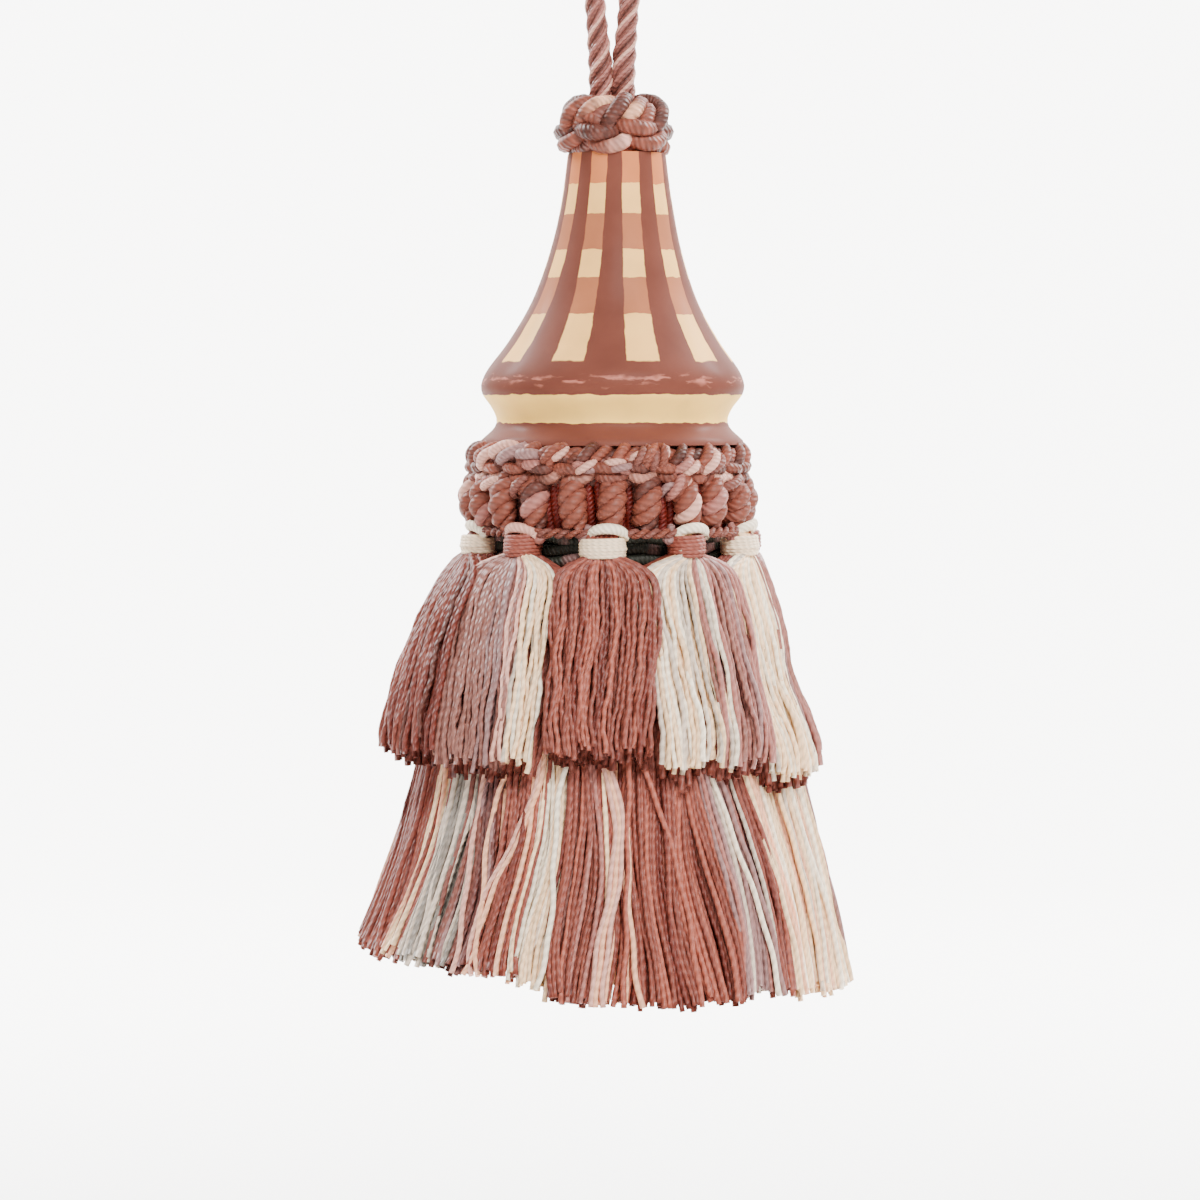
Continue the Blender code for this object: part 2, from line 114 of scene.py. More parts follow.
def sweep_yarns(paths, radius, outward, colours, sides=6):
    """Tubes along paths (yarn, step, xyz). radius and colours may differ for each yarn and each step."""
    paths = np.asarray(paths, float)
    count, steps, _ = paths.shape
    radius = np.broadcast_to(np.asarray(radius, float), (count, steps))
    across, out = path_sides(paths, outward)
    turns = np.linspace(0, 2 * np.pi, sides, endpoint=False)
    ring = across[:, :, None] * np.cos(turns)[:, None] + out[:, :, None] * np.sin(turns)[:, None]
    points = paths[:, :, None] + ring * radius[:, :, None, None]

    index = np.arange(count * steps * sides).reshape(count, steps, sides)
    near = index[:, :-1]
    far = index[:, 1:]
    walls = np.stack([near, np.roll(near, -1, axis=2), np.roll(far, -1, axis=2), far], axis=-1)
    caps = np.concatenate([index[:, 0], index[:, -1, ::-1]])
    faces = walls.reshape(-1, 4).tolist() + caps.tolist()

    along = lengths_along(paths)
    u = np.arange(sides + 1) / sides
    wall_uvs = np.zeros((count, steps - 1, sides, 4, 2))
    wall_uvs[..., 0, 0] = wall_uvs[..., 3, 0] = u[:-1]
    wall_uvs[..., 1, 0] = wall_uvs[..., 2, 0] = u[1:]
    wall_uvs[..., 0, 1] = wall_uvs[..., 1, 1] = along[:, :-1, None]
    wall_uvs[..., 2, 1] = wall_uvs[..., 3, 1] = along[:, 1:, None]
    cap_uvs = np.zeros((2 * count, sides, 2))
    cap_uvs[count:, :, 1] = along[:, -1:]
    # each yarn's twist starts somewhere else, or the twists of neighbours line up in bands
    starts = np.random.default_rng(count).uniform(0, 20, count)
    wall_uvs[..., 1] += starts[:, None, None, None]
    cap_uvs[..., 1] += np.tile(starts, 2)[:, None]
    uvs = np.concatenate([wall_uvs.reshape(-1, 2), cap_uvs.reshape(-1, 2)])

    colours = np.asarray(colours, float)
    if colours.ndim == 2:
        colours = colours[:, None]
    colours = np.broadcast_to(colours, (count, steps, 3))
    colours = np.repeat(colours.reshape(-1, 3), sides, axis=0)
    return Yarns(points.reshape(-1, 3), faces, uvs, colours)


def add_piece(name, parts, material, nodes=()):
    """One mesh object of several sets of yarns, in metres, riding on the tassel in place of its CAD nodes."""
    offset, faces = 0, []
    for part in parts:
        faces += [[corner + offset for corner in face] for face in part.faces]
        offset += len(part.points)
    points = np.concatenate([part.points for part in parts]) * MM
    mesh = bpy.data.meshes.new(name)
    mesh.from_pydata(points.tolist(), [], faces)
    mesh.uv_layers.new(name="yarn_length").data.foreach_set(
        "uv", np.concatenate([part.uvs for part in parts]).astype(np.float32).ravel()
    )
    dye = mesh.color_attributes.new(name="dye", type="FLOAT_COLOR", domain="POINT")
    colours = np.concatenate([part.colours for part in parts])
    rgba = np.concatenate([colours, np.ones((len(colours), 1))], axis=1)
    dye.data.foreach_set("color", rgba.astype(np.float32).ravel())
    mesh.materials.append(material)
    mesh.shade_smooth()
    piece = bpy.data.objects.new(name, mesh)
    bpy.context.scene.collection.objects.link(piece)
    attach(piece, "root")
    if nodes:
        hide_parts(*nodes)
    triangles = sum(len(face) - 2 for face in faces)
    print(f"{name}: {triangles} triangles")
    return piece


# %% [markdown]
# ## Dyed rayon
#
# Tassels are made of viscose rayon, spun from long smooth filaments and dyed. It is bright and a little
# silky: a soft highlight along the yarn and no fuzz. Its two plies are twisted about once in 3 mm. That twist
# is drawn in the material, as a groove that runs round the yarn along its UV map, because a mesh of it would
# need millions of faces, and the dye is darkened in the groove as painted shade. Filaments finer than that
# don't show. A dyer's lots differ, so each skein gets yarns of three dyes, kept on the mesh as a colour
# attribute.

# %% A function for colours and one for nodes
def linear(hex_colour):
    """An sRGB hex colour as linear RGB."""
    channels = np.array([int(hex_colour[i : i + 2], 16) / 255 for i in (0, 2, 4)])
    return np.where(channels <= 0.04045, channels / 12.92, ((channels + 0.055) / 1.055) ** 2.4)


def add_node(tree, kind, links=None, **settings):
    """Adds a node with its settings. links gives each input a value or another node's output."""
    node = tree.nodes.new(kind)
    for name, value in settings.items():
        setattr(node, name, value)
    for socket, value in (links or {}).items():
        if isinstance(value, bpy.types.NodeSocket):
            tree.links.new(value, node.inputs[socket])
        else:
            node.inputs[socket].default_value = value
    return node


def new_material(name):
    """A new material, its node tree and its Principled shader."""
    material = bpy.data.materials.new(name)
    material.use_nodes = True
    return material, material.node_tree, material.node_tree.nodes["Principled BSDF"]


# %% Twisted rayon yarn
DYES = {
    "rust": "854335",
    "deep rust": "6b2d21",
    "light rust": "a35644",
    "mauve": "a3665b",
    "dull mauve": "905c50",
    "grey mauve": "6b403a",
    "lilac": "946d68",
    "cream": "fdd5a7",
    "bright cream": "ffecd0",
    "grey cream": "d3bfab",
    "oat": "867c71",
    "peach": "f0af8a",
    "pale pink": "d99f8c",
    "rose": "7b473c",
    "gimp rust": "7f4333",
    "gimp brown": "5a2f25",
    # painted shade in part: the dark red of the heading's ground between the loops
    "shaded_ground_red": "66170b",
    "shadow": "33342b",
}
DYE = {name: linear(hex_colour) for name, hex_colour in DYES.items()}
DYE_LOTS = {  # a skein holds yarn of several dye lots, so some yarns differ from their neighbours
    "rust": ("deep rust", "light rust"),
    "deep rust": ("rust", "gimp brown"),
    "mauve": ("dull mauve", "lilac"),
    "dull mauve": ("lilac", "pale pink"),
    "grey mauve": ("rose", "lilac"),
    "lilac": ("mauve", "pale pink"),
    "cream": ("bright cream", "grey cream"),
    "oat": ("grey cream", "lilac"),
    "peach": ("cream", "light rust"),
}
OTHER_LOTS = (0.24, 0.14)  # the share of yarns from each of the two other lots


def dyes(names):
    """The dyes of those names, one row each."""
    return np.array([DYE[name] for name in names])


def skein_dyes(rng, name, count):
    """The dye of each of count yarns in one skein."""
    other, another = DYE_LOTS[name]
    pick = rng.uniform(size=(count, 1))
    return np.where(
        pick < OTHER_LOTS[0], DYE[other], np.where(pick < sum(OTHER_LOTS), DYE[another], DYE[name])
    )


def rayon_material(name, ply_lay, plies, groove, groove_depth, gloss):
    """Rayon with plies twisted once in ply_lay mm. groove is how dark the groove between two plies is, as
    painted shade.
    """
    material, tree, shader = new_material(name)
    dye = add_node(tree, "ShaderNodeAttribute", attribute_name="dye")
    uv = add_node(tree, "ShaderNodeUVMap", uv_map="yarn_length")
    split = add_node(tree, "ShaderNodeSeparateXYZ", {0: uv.outputs["UV"]})
    round_yarn = add_node(
        tree, "ShaderNodeMath", {0: split.outputs["X"], 1: 2 * math.pi * plies}, operation="MULTIPLY"
    )
    phase = add_node(
        tree,
        "ShaderNodeMath",
        {0: split.outputs["Y"], 1: 2 * math.pi * plies / ply_lay, 2: round_yarn.outputs[0]},
        operation="MULTIPLY_ADD",
    )
    wave = add_node(tree, "ShaderNodeMath", {0: phase.outputs[0]}, operation="SINE")
    height = add_node(tree, "ShaderNodeMapRange", {"Value": wave.outputs[0], "From Min": -1.0})
    # painted shade: the dye is darkened in the groove between two plies
    shade = add_node(
        tree,
        "ShaderNodeMapRange",
        {"Value": wave.outputs[0], "From Min": -1.0, "From Max": 0.4, "To Min": groove, "To Max": 1.0},
    )
    shaded = add_node(
        tree,
        "ShaderNodeMix",
        {"Factor": 1.0, "A": dye.outputs["Color"], "B": shade.outputs[0]},
        data_type="RGBA",
        blend_type="MULTIPLY",
    )
    bump = add_node(
        tree, "ShaderNodeBump", {"Height": height.outputs[0], "Strength": 0.8, "Distance": groove_depth * MM}
    )
    tree.links.new(shaded.outputs["Result"], shader.inputs["Base Color"])
    tree.links.new(bump.outputs["Normal"], shader.inputs["Normal"])
    shader.inputs["Roughness"].default_value = 0.5
    shader.inputs["IOR"].default_value = 1.52
    shader.inputs["Specular IOR Level"].default_value = gloss
    return material


skirt_rayon = rayon_material("cut_two_ply_rayon", 3.0, 2, groove=0.78, groove_depth=0.13, gloss=0.4)
gimp_rayon = rayon_material("wound_gimp_rayon", 2.6, 4, groove=0.78, groove_depth=0.12, gloss=0.28)
cord_rayon = rayon_material("rope_yarn_rayon", 1.8, 2, groove=0.82, groove_depth=0.08, gloss=0.35)
print("materials", [material.name for material in bpy.data.materials])

# %% [markdown]
# ## The hanging cord
#
# The cord is a small rope: four plies laid together in a right-hand twist, a turn in about 11 mm, and each
# ply is a bundle of fine yarns. Two plies have pale pink yarns on their outside, and the two between are
# darker. In every ply the yarns darken from its outside to its inside: the pale outside is partly the cord's
# own colour and partly a painted highlight, and the dark inside is painted shade in the grooves between
# plies. A bevelled curve would be smooth, so here the plies wind round the route that the solid model
# follows, which keeps the loop's length, and each yarn winds with its ply. The loop ends above the
# photograph, where a hook would hold it.

# %% Twist the hanging cord
CORD_DIAMETER = 3.1
CORD_LAY = 10.8
CORD_ROUTE = (
    (-1.64, 0.0, 61.2),
    (-1.64, 0.0, 56.0),
    (-1.66, 0.0, 51.5),
    (-1.76, 0.0, 48.0),
    (-2.06, 0.0, 44.5),
    (-2.36, 0.0, 41.0),
    (-2.66, 0.0, 37.5),
    (-3.20, 0.1, 32.0),
    (-3.95, 0.1, 26.0),
    (-4.95, 0.1, 20.0),
    (-6.10, 0.1, 14.0),
    (-7.05, 0.0, 9.0),
    (-7.40, 0.0, 5.0),
    (-6.50, 0.0, 1.4),
    (-3.90, 0.0, -1.0),
    (0.00, 0.0, -1.65),
    (3.90, 0.0, -1.0),
    (6.50, 0.0, 1.4),
    (7.40, 0.0, 5.0),
    (7.15, 0.0, 9.0),
    (6.30, 0.1, 14.0),
    (5.15, 0.1, 20.0),
    (4.10, 0.1, 26.0),
    (3.25, 0.1, 32.0),
    (2.66, 0.0, 37.5),
    (2.36, 0.0, 41.0),
    (2.06, 0.0, 44.5),
    (1.76, 0.0, 48.0),
    (1.66, 0.0, 51.5),
    (1.64, 0.0, 56.0),
    (1.64, 0.0, 61.2),
)


def smooth_line(points, step):
    """Points about step apart on a Catmull-Rom curve through the given points."""
    knots = np.array(points, float)
    knots = np.vstack([2 * knots[0] - knots[1], knots, 2 * knots[-1] - knots[-2]])
    share = np.linspace(0, 1, 16, endpoint=False)[:, None]
    spans = []
    for before, start, end, after in zip(knots, knots[1:], knots[2:], knots[3:]):
        spans.append(
            0.5
            * (
                2 * start
                + (end - before) * share
                + (2 * before - 5 * start + 4 * end - after) * share**2
                + (3 * start - before - 3 * end + after) * share**3
            )
        )
    line = np.vstack([*spans, knots[-2:-1]])
    along = lengths_along(line[None])[0]
    at = np.linspace(0, along[-1], round(along[-1] / step) + 1)
    return np.stack([np.interp(at, along, line[:, k]) for k in range(3)], axis=1)


def twist(path, outward, radius, strands, turns, start=0.0):
    """Paths of several strands that wind round one path at that radius, turns times along it."""
    across, out = path_sides(path[None], outward)
    along = lengths_along(path[None])[0]
    turn = 2 * np.pi * (start + turns * along / along[-1])
    wound = []
    for strand in range(strands):
        angle = (turn + 2 * np.pi * strand / strands)[:, None]
        wound.append(path + radius * (across[0] * np.cos(angle) + out[0] * np.sin(angle)))
    return np.array(wound)


TOWARDS_BACK = np.array([0.0, 1.0, 0.0])
route = smooth_line(np.array(CORD_ROUTE) * (1, 1, -1), step=0.6)
cord_length = lengths_along(route[None])[0, -1]
PLY_RADIUS = CORD_DIAMETER / 2 / (1 + math.sqrt(2))
PLY_CENTRE = CORD_DIAMETER / 2 - PLY_RADIUS
ROPE_YARN_RADIUS = 0.27
# each ply's yarns from its outside inwards: the pale pink outside is partly the cord's own colour and partly a
# painted highlight, and the darker yarns inside are painted shade in the grooves
PALE_PLY = ("pale pink", "mauve", "rose", "gimp brown", "gimp brown", "gimp brown", "rose")
DARK_PLY = ("mauve", "rose", "gimp brown", "gimp brown", "gimp brown", "gimp brown", "rose")
OPENED = 0.15  # the plies open up just above the collar, where the twist is let out
opened = 1 + OPENED * np.clip((-route[:, 2:] - 42) / 6, 0, 1)
plies = twist(route, TOWARDS_BACK, PLY_CENTRE * opened, 4, -cord_length / CORD_LAY)
rope_parts = []
for ply, ply_tones in zip(plies, (PALE_PLY, DARK_PLY, PALE_PLY, DARK_PLY)):
    from_middle = ply - route
    ply_ring = (PLY_RADIUS - ROPE_YARN_RADIUS * 0.6) * opened
    yarns = twist(ply, from_middle, ply_ring, len(ply_tones), 0.0, start=0.25)
    thickness = ROPE_YARN_RADIUS * opened[:, 0]
    rope_parts.append(sweep_yarns(yarns, thickness, from_middle, dyes(ply_tones), sides=5))
hanging_cord = add_piece("cord_loop", rope_parts, cord_rayon, ["hanging_cord"])
print("cord length in mm", round(cord_length, 1))

# %% [markdown]
# ## Plaits of gimp cord
#
# Gimp cord is a core wound with bright floss, and a maker plaits three of them by hand. A three-strand plait
# is simple to write down: each cord swings from side to side, a third of a swing behind the last, and passes
# over and under twice in each swing. Bent round a ring, that path closes on itself when a whole number of
# swings goes round. Each cord is made of three plies, one of them pale, and the pale ply is kept on the
# crests, where it is partly the gimp's own colour and partly a painted highlight. Real plaits are uneven,
# so the swing wanders a little round the ring.

# %% Plait a ring of gimp cord
def place(radius, angle, drop):
    """Points at an angle round the tassel, in mm."""
    turn = np.radians(angle)
    radius, turn, drop = np.broadcast_arrays(radius, turn, drop)
    return np.stack([radius * np.sin(turn), -radius * np.cos(turn), -drop], axis=-1)


def straight_out(paths):
    """The direction away from the tassel's middle at each point."""
    return unit(paths * (1, 1, 0))


def wander(angle, seed, size, waves=(3, 5, 8)):
    """A smooth wandering number round the ring, the same on every run."""
    rng = np.random.default_rng(seed)
    total = 0
    for wave in waves:
        total = total + np.sin(np.radians(wave * angle) + rng.uniform(0, 2 * np.pi)) / len(waves)
    return size * total


def three_ply_radius(cord):
    """The radius of each of three plies in a cord of that diameter."""
    return cord / 2 / (1 + 2 / math.sqrt(3))


def box_mm(node):
    """A node's lowest and highest corners, in mm."""
    return (np.array(corner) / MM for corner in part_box(node))


def plait_ring(radius, drop, repeats, across, depth, cord, tones, seed, steps, pale_at, start=0.0, dome=0.0):
    """Three cords of three plies, plaited into a ring. The last ply is pale where pale_at is 1."""
    angle = np.linspace(-180, 180, steps)  # the ends meet at the back
    ply_radius = three_ply_radius(cord)
    parts = []
    for number in range(3):
        swing = np.radians(repeats * (angle - start) + 120 * number + wander(angle, seed, 12))
        side = across * np.sin(swing) * (1 + wander(angle, seed + 1, 0.12))
        out = depth * np.sin(2 * swing) + wander(angle, seed + 2 + number, 0.2)
        out = out - dome * np.maximum(0, side / across) ** 2
        path = place(radius + out, angle, drop - side)
        # two turns to a swing, so that the last ply, the pale one, always lies on the crests, in part as a
        # painted highlight
        pale_out = 1 / 4 + 1 / 3 - (90 - 120 * number + repeats * start) / 180
        strands = twist(path, straight_out(path), cord / 2 - ply_radius, 3, 2 * repeats, start=pale_out)
        colours = dyes(tones[number])[:, None] * np.ones((1, steps, 1))
        pale = pale_at(angle, side / across)[:, None]
        colours[2] = colours[2] * pale + DYE["gimp rust"] * (1 - pale)
        mottle = [wander(angle, seed + 5 * number + k, 0.5, waves=(29, 41, 67)) for k in range(3)]
        colours = colours * (1 + np.array(mottle)[..., None])
        parts.append(sweep_yarns(strands, ply_radius * 1.08, straight_out(strands), colours, sides=8))
    return parts


def aside(parts, across):
    """Moves parts sideways: handwork never sits quite true."""
    return [part._replace(points=part.points + (across, 0, 0)) for part in parts]


COLLAR_LOW, COLLAR_HIGH = box_mm("collar")
COLLAR_CORD = 4.8
COLLAR_SETTLE = 0.8  # the lower cords bulge down over the mould's shoulder
COLLAR_ASIDE = 0.3
collar_height = COLLAR_HIGH[2] - COLLAR_LOW[2]
collar_outside = (COLLAR_HIGH[0] - COLLAR_LOW[0]) / 2


def pale_in_collar(angle, side):
    """Pale only in patches, as far as the pale ply comes to the outside; the three patches at the front are
    partly painted highlights.
    """
    patches = np.clip(wander(angle, 13, 3.0, waves=(3, 4, 7)) - 0.2, 0, 1) * (np.abs(angle) > 105)
    left = np.exp(-(((angle + 26) / 11) ** 2)) * (side > 0)
    right = 0.9 * np.exp(-(((angle - 16) / 8) ** 2)) * (side > 0)
    foot = np.exp(-(((angle - 6) / 10) ** 2)) * (side < 0)
    return np.clip(patches + left + right + foot, 0, 1)


collar_parts = plait_ring(
    radius=collar_outside - COLLAR_CORD / 2 - 0.25,
    drop=-(COLLAR_HIGH[2] + COLLAR_LOW[2]) / 2 + COLLAR_SETTLE,
    repeats=2,
    across=collar_height / 2 - COLLAR_CORD / 2 + 0.35,
    depth=0.9,
    cord=COLLAR_CORD,
    tones=(
        ("gimp brown", "rose", "peach"),
        ("gimp rust", "gimp brown", "peach"),
        ("gimp brown", "gimp rust", "pale pink"),
    ),
    seed=11,
    steps=200,
    start=-12.0,
    dome=1.3,
    pale_at=pale_in_collar,
)
add_piece("collar_plait", aside(collar_parts, COLLAR_ASIDE), gimp_rayon, ["collar"])
print("collar in mm", round(collar_height, 1), "high and", round(2 * collar_outside, 1), "across")

# %% [markdown]
# ## The turned mould
#
# The mould is a piece of beech turned on a lathe to a trumpet with a round lip, a cove and a foot. A ring of
# points for each step of the turned profile makes it. It is primed and painted, so no grain shows. Ten
# stripes are painted down it, and each is broken into cream, salmon and peach blocks, like a woven check.
# A painted image would be the usual way. Here the material works the stripes out from the angle round the
# mould and the height, in a table of sums, and their edges wander slightly, as a brush does. The paint is
# dull under a thin varnish, and pale streaks along the lip are a painted highlight.

# %% Turn the mould
MouldRow = namedtuple("MouldRow", "drop radius")
MOULD_TOP = 61.5
MOULD = (
    MouldRow(0.0, 7.3),
    MouldRow(6.75, 8.2),
    MouldRow(14.0, 9.7),
    MouldRow(21.5, 12.2),
    MouldRow(27.5, 15.5),
    MouldRow(31.8, 18.6),
    MouldRow(33.6, 19.5),
    MouldRow(34.8, 19.7),
    MouldRow(36.0, 19.3),
    MouldRow(37.6, 18.1),
    MouldRow(39.4, 17.3),
    MouldRow(40.8, 17.7),
    MouldRow(42.6, 19.6),
    MouldRow(43.2, 19.7),
)
MOULD_SIDES = 120


LEAN_TOP = 70.0  # drops between which a lean to one side grows
LEAN_FOOT = 100.0


def turn_profile(name, profile, sides, material, nodes, lean=0.0):
    """A solid of revolution through (drop, radius) points, top to bottom, closed at both ends."""
    angles = np.arange(sides) * 360 / sides
    points = np.concatenate([place(radius, angles, drop) for drop, radius in profile])
    points[:, 0] += lean * np.clip((LEAN_FOOT + points[:, 2]) / (LEAN_FOOT - LEAN_TOP), 0, 1)
    index = np.arange(len(points)).reshape(len(profile), sides)
    upper, lower = index[:-1], index[1:]
    walls = np.stack([upper, lower, np.roll(lower, -1, axis=1), np.roll(upper, -1, axis=1)], axis=-1)
    faces = walls.reshape(-1, 4).tolist() + [index[0].tolist(), index[-1, ::-1].tolist()]
    mesh = bpy.data.meshes.new(name)
    mesh.from_pydata((points * MM).tolist(), [], faces)
    mesh.materials.append(material)
    mesh.shade_smooth()
    mesh.set_sharp_from_angle(angle=math.radians(50))
    piece = bpy.data.objects.new(name, mesh)
    bpy.context.scene.collection.objects.link(piece)
    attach(piece, "root")
    if nodes:
        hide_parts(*nodes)
    print(f"{name}: {len(faces)} faces")
    return piece


STRIPES = 10
STRIPE_TOP_ANGLE = 21.0  # the stripe just right of the front, at its top and at its foot
STRIPE_FOOT_ANGLE = 14.5
STRIPE_HALF_TOP = 9.8  # half a stripe's width in degrees, at the top and at its foot
STRIPE_HALF_FOOT = 8.0
PAINT = {
    "rust": "6c3c30",
    "cream": "fdc170",
    "salmon": "ab6846",
    "peach": "c87547",
    "band": "ffcc69",
    # painted highlight: the pale pink of the streaks along the lip
    "rubbed": "bf7462",
}
Block = namedtuple("Block", "drop colour")
BLOCKS = (
    Block(61.0, "peach"),
    Block(66.1, "cream"),
    Block(70.6, "salmon"),
    Block(75.8, "cream"),
    Block(80.0, "salmon"),
    Block(85.4, "cream"),
)
STRIPE_FOOT = 92.4
BAND_TOP = 97.3
BAND_FOOT = 101.4
PAINT_TOP, PAINT_FOOT = 60.0, 108.0  # the drops that the colours are spread over
GROUND = (Block(PAINT_TOP, "rust"), Block(BAND_TOP, "band"), Block(BAND_FOOT, "rust"))
STRIPE_STEP = 360 / STRIPES
STRIPE_TOP = BLOCKS[0].drop
STRIPE_LENGTH = STRIPE_FOOT - STRIPE_TOP
# painted highlight: the drop, half height and strongest share of the pale streaks along the lip
LIP_HIGHLIGHT_DROP = 95.2
LIP_HIGHLIGHT_HALF = 0.6
LIP_HIGHLIGHT_MOST = 0.75
KEPT_TO_ONE = ("along", "in stripe", "in height", "rubbed here", "rubbed streak")  # kept from 0 to 1
SUMS = (  # each row is a result's name, the sum, and its values: numbers, or names of earlier results
    ("wobble", "SUBTRACT", "brush", 0.5),
    ("front", "MULTIPLY", "Y", -1.0),
    ("turn", "ARCTAN2", "X", "front"),
    ("angle", "MULTIPLY", "turn", 180 / math.pi),
    ("true drop", "MULTIPLY", "Z", -1 / MM),
    ("drop", "MULTIPLY_ADD", "wobble", 0.8, "true drop"),
    ("along", "MULTIPLY_ADD", "drop", 1 / STRIPE_LENGTH, -STRIPE_TOP / STRIPE_LENGTH),
    ("middle", "MULTIPLY_ADD", "along", STRIPE_FOOT_ANGLE - STRIPE_TOP_ANGLE, STRIPE_TOP_ANGLE),
    ("half", "MULTIPLY_ADD", "along", STRIPE_HALF_FOOT - STRIPE_HALF_TOP, STRIPE_HALF_TOP),
    ("past middle", "SUBTRACT", "angle", "middle"),
    ("stripes round", "MULTIPLY_ADD", "past middle", 1 / STRIPE_STEP, STRIPES + 0.5),
    ("in one stripe", "FRACT", "stripes round"),
    ("off centre", "SUBTRACT", "in one stripe", 0.5),
    ("share off centre", "ABSOLUTE", "off centre"),
    ("degrees off", "MULTIPLY", "share off centre", STRIPE_STEP),
    ("ragged off", "MULTIPLY_ADD", "wobble", 2.2, "degrees off"),
    ("inside edge", "SUBTRACT", "half", "ragged off"),
    ("in stripe", "MULTIPLY_ADD", "inside edge", 2.0, 0.5),
    ("above foot", "SUBTRACT", STRIPE_FOOT, "drop"),
    ("in height", "MULTIPLY_ADD", "above foot", 5.0, 0.5),
    ("painted", "MULTIPLY", "in stripe", "in height"),
    # the rows from here on paint a highlight in pale streaks along the lip
    ("ragged drop", "MULTIPLY_ADD", "wobble", 1.6, "drop"),
    ("below lip", "SUBTRACT", "ragged drop", LIP_HIGHLIGHT_DROP),
    ("off lip", "ABSOLUTE", "below lip"),
    ("near lip", "SUBTRACT", LIP_HIGHLIGHT_HALF, "off lip"),
    ("rubbed here", "MULTIPLY_ADD", "near lip", 1.6, 0.3),
    ("streak across", "MULTIPLY", "angle", 0.06),
    ("streak down", "MULTIPLY", "drop", 0.9),
    ("streak", "SUBTRACT", "streaks", 0.55),
    ("rubbed streak", "MULTIPLY_ADD", "streak", 10.0, 0.4),
    ("pale streak", "MINIMUM", "rubbed streak", LIP_HIGHLIGHT_MOST),
    ("rubbed", "MULTIPLY", "rubbed here", "pale streak"),
)


def painted_mould_material():
    material, tree, shader = new_material("painted_and_varnished_beech")
    place_node = add_node(tree, "ShaderNodeTexCoord").outputs["Object"]
    brush = add_node(tree, "ShaderNodeTexNoise", {"Vector": place_node, "Scale": 420.0, "Detail": 2.0})
    xyz = add_node(tree, "ShaderNodeSeparateXYZ", {0: place_node})
    across = add_node(tree, "ShaderNodeCombineXYZ")
    streaks = add_node(
        tree, "ShaderNodeTexNoise", {"Vector": across.outputs[0], "Scale": 1.4, "Detail": 4.0}
    )
    known = {"brush": brush.outputs["Fac"], "streaks": streaks.outputs["Fac"], **dict(xyz.outputs.items())}
    for name, operation, *values in SUMS:
        links = {socket: known.get(value, value) for socket, value in enumerate(values)}
        settings = {"operation": operation, "use_clamp": name in KEPT_TO_ONE}
        known[name] = add_node(tree, "ShaderNodeMath", links, **settings).outputs[0]
    tree.links.new(known["streak across"], across.inputs["X"])
    tree.links.new(known["streak down"], across.inputs["Y"])

    spread = {"Value": known["drop"], "From Min": PAINT_TOP, "From Max": PAINT_FOOT}
    share = add_node(tree, "ShaderNodeMapRange", spread)
    layers = []
    for stops in (GROUND, BLOCKS):
        ramp = add_node(tree, "ShaderNodeValToRGB", {"Fac": share.outputs[0]})
        ramp.color_ramp.interpolation = "CONSTANT"
        elements = ramp.color_ramp.elements
        while len(elements) < len(stops):
            elements.new(1.0)
        for element, stop in zip(elements, stops):
            element.position = (stop.drop - PAINT_TOP) / (PAINT_FOOT - PAINT_TOP)
            element.color = (*linear(PAINT[stop.colour]), 1)
        layers.append(ramp.outputs["Color"])
    cloud = add_node(tree, "ShaderNodeTexNoise", {"Vector": place_node, "Scale": 160.0, "Detail": 5.0})
    patchy = add_node(
        tree, "ShaderNodeMapRange", {"Value": cloud.outputs["Fac"], "To Min": 0.77, "To Max": 1.23}
    )
    # painted highlight on the lip
    rubbed = (*linear(PAINT["rubbed"]), 1)
    paint = layers[0]
    for factor, over, blend in (
        (known["painted"], layers[1], "MIX"),
        (known["rubbed"], rubbed, "MIX"),
        (1.0, patchy.outputs[0], "MULTIPLY"),
    ):
        links = {"Factor": factor, "A": paint, "B": over}
        mixed = add_node(tree, "ShaderNodeMix", links, data_type="RGBA", blend_type=blend)
        paint = mixed.outputs["Result"]
    bump = add_node(
        tree, "ShaderNodeBump", {"Height": brush.outputs["Fac"], "Strength": 0.25, "Distance": 0.1 * MM}
    )
    tree.links.new(paint, shader.inputs["Base Color"])
    tree.links.new(bump.outputs["Normal"], shader.inputs["Normal"])
    shader.inputs["Roughness"].default_value = 0.6
    shader.inputs["IOR"].default_value = 1.4
    shader.inputs["Specular IOR Level"].default_value = 0.08
    shader.inputs["Coat Weight"].default_value = 0.03
    shader.inputs["Coat Roughness"].default_value = 0.25
    return material


mould_profile = smooth_line([(row.drop + MOULD_TOP, row.radius, 0) for row in MOULD], step=0.7)[:, :2]
paint = painted_mould_material()
turn_profile("turned_mould", mould_profile, MOULD_SIDES, paint, ["mould"], lean=0.7)

# %% [markdown]
# ## The gimp heading
#
# Under the mould's foot the maker plaits the same gimp into a wide band, and below it carries the cords down
# into a row of upright loops. The plait is the collar's, made wider. Each loop is a fat three-ply cord that
# rolls out from under the plait, bulges and tucks in again above the small tassels.

# %% Plait the heading's upper band
PLAIT_LOW, PLAIT_HIGH = box_mm("gimp_plait")
PLAIT_CORD = 3.3
PLAIT_RAISE = 0.4  # the plait's bulges ride up over the mould's foot
HEADING_ASIDE = -0.55
plait_outside = (PLAIT_HIGH[0] - PLAIT_LOW[0]) / 2
plait_height = PLAIT_HIGH[2] - PLAIT_LOW[2]


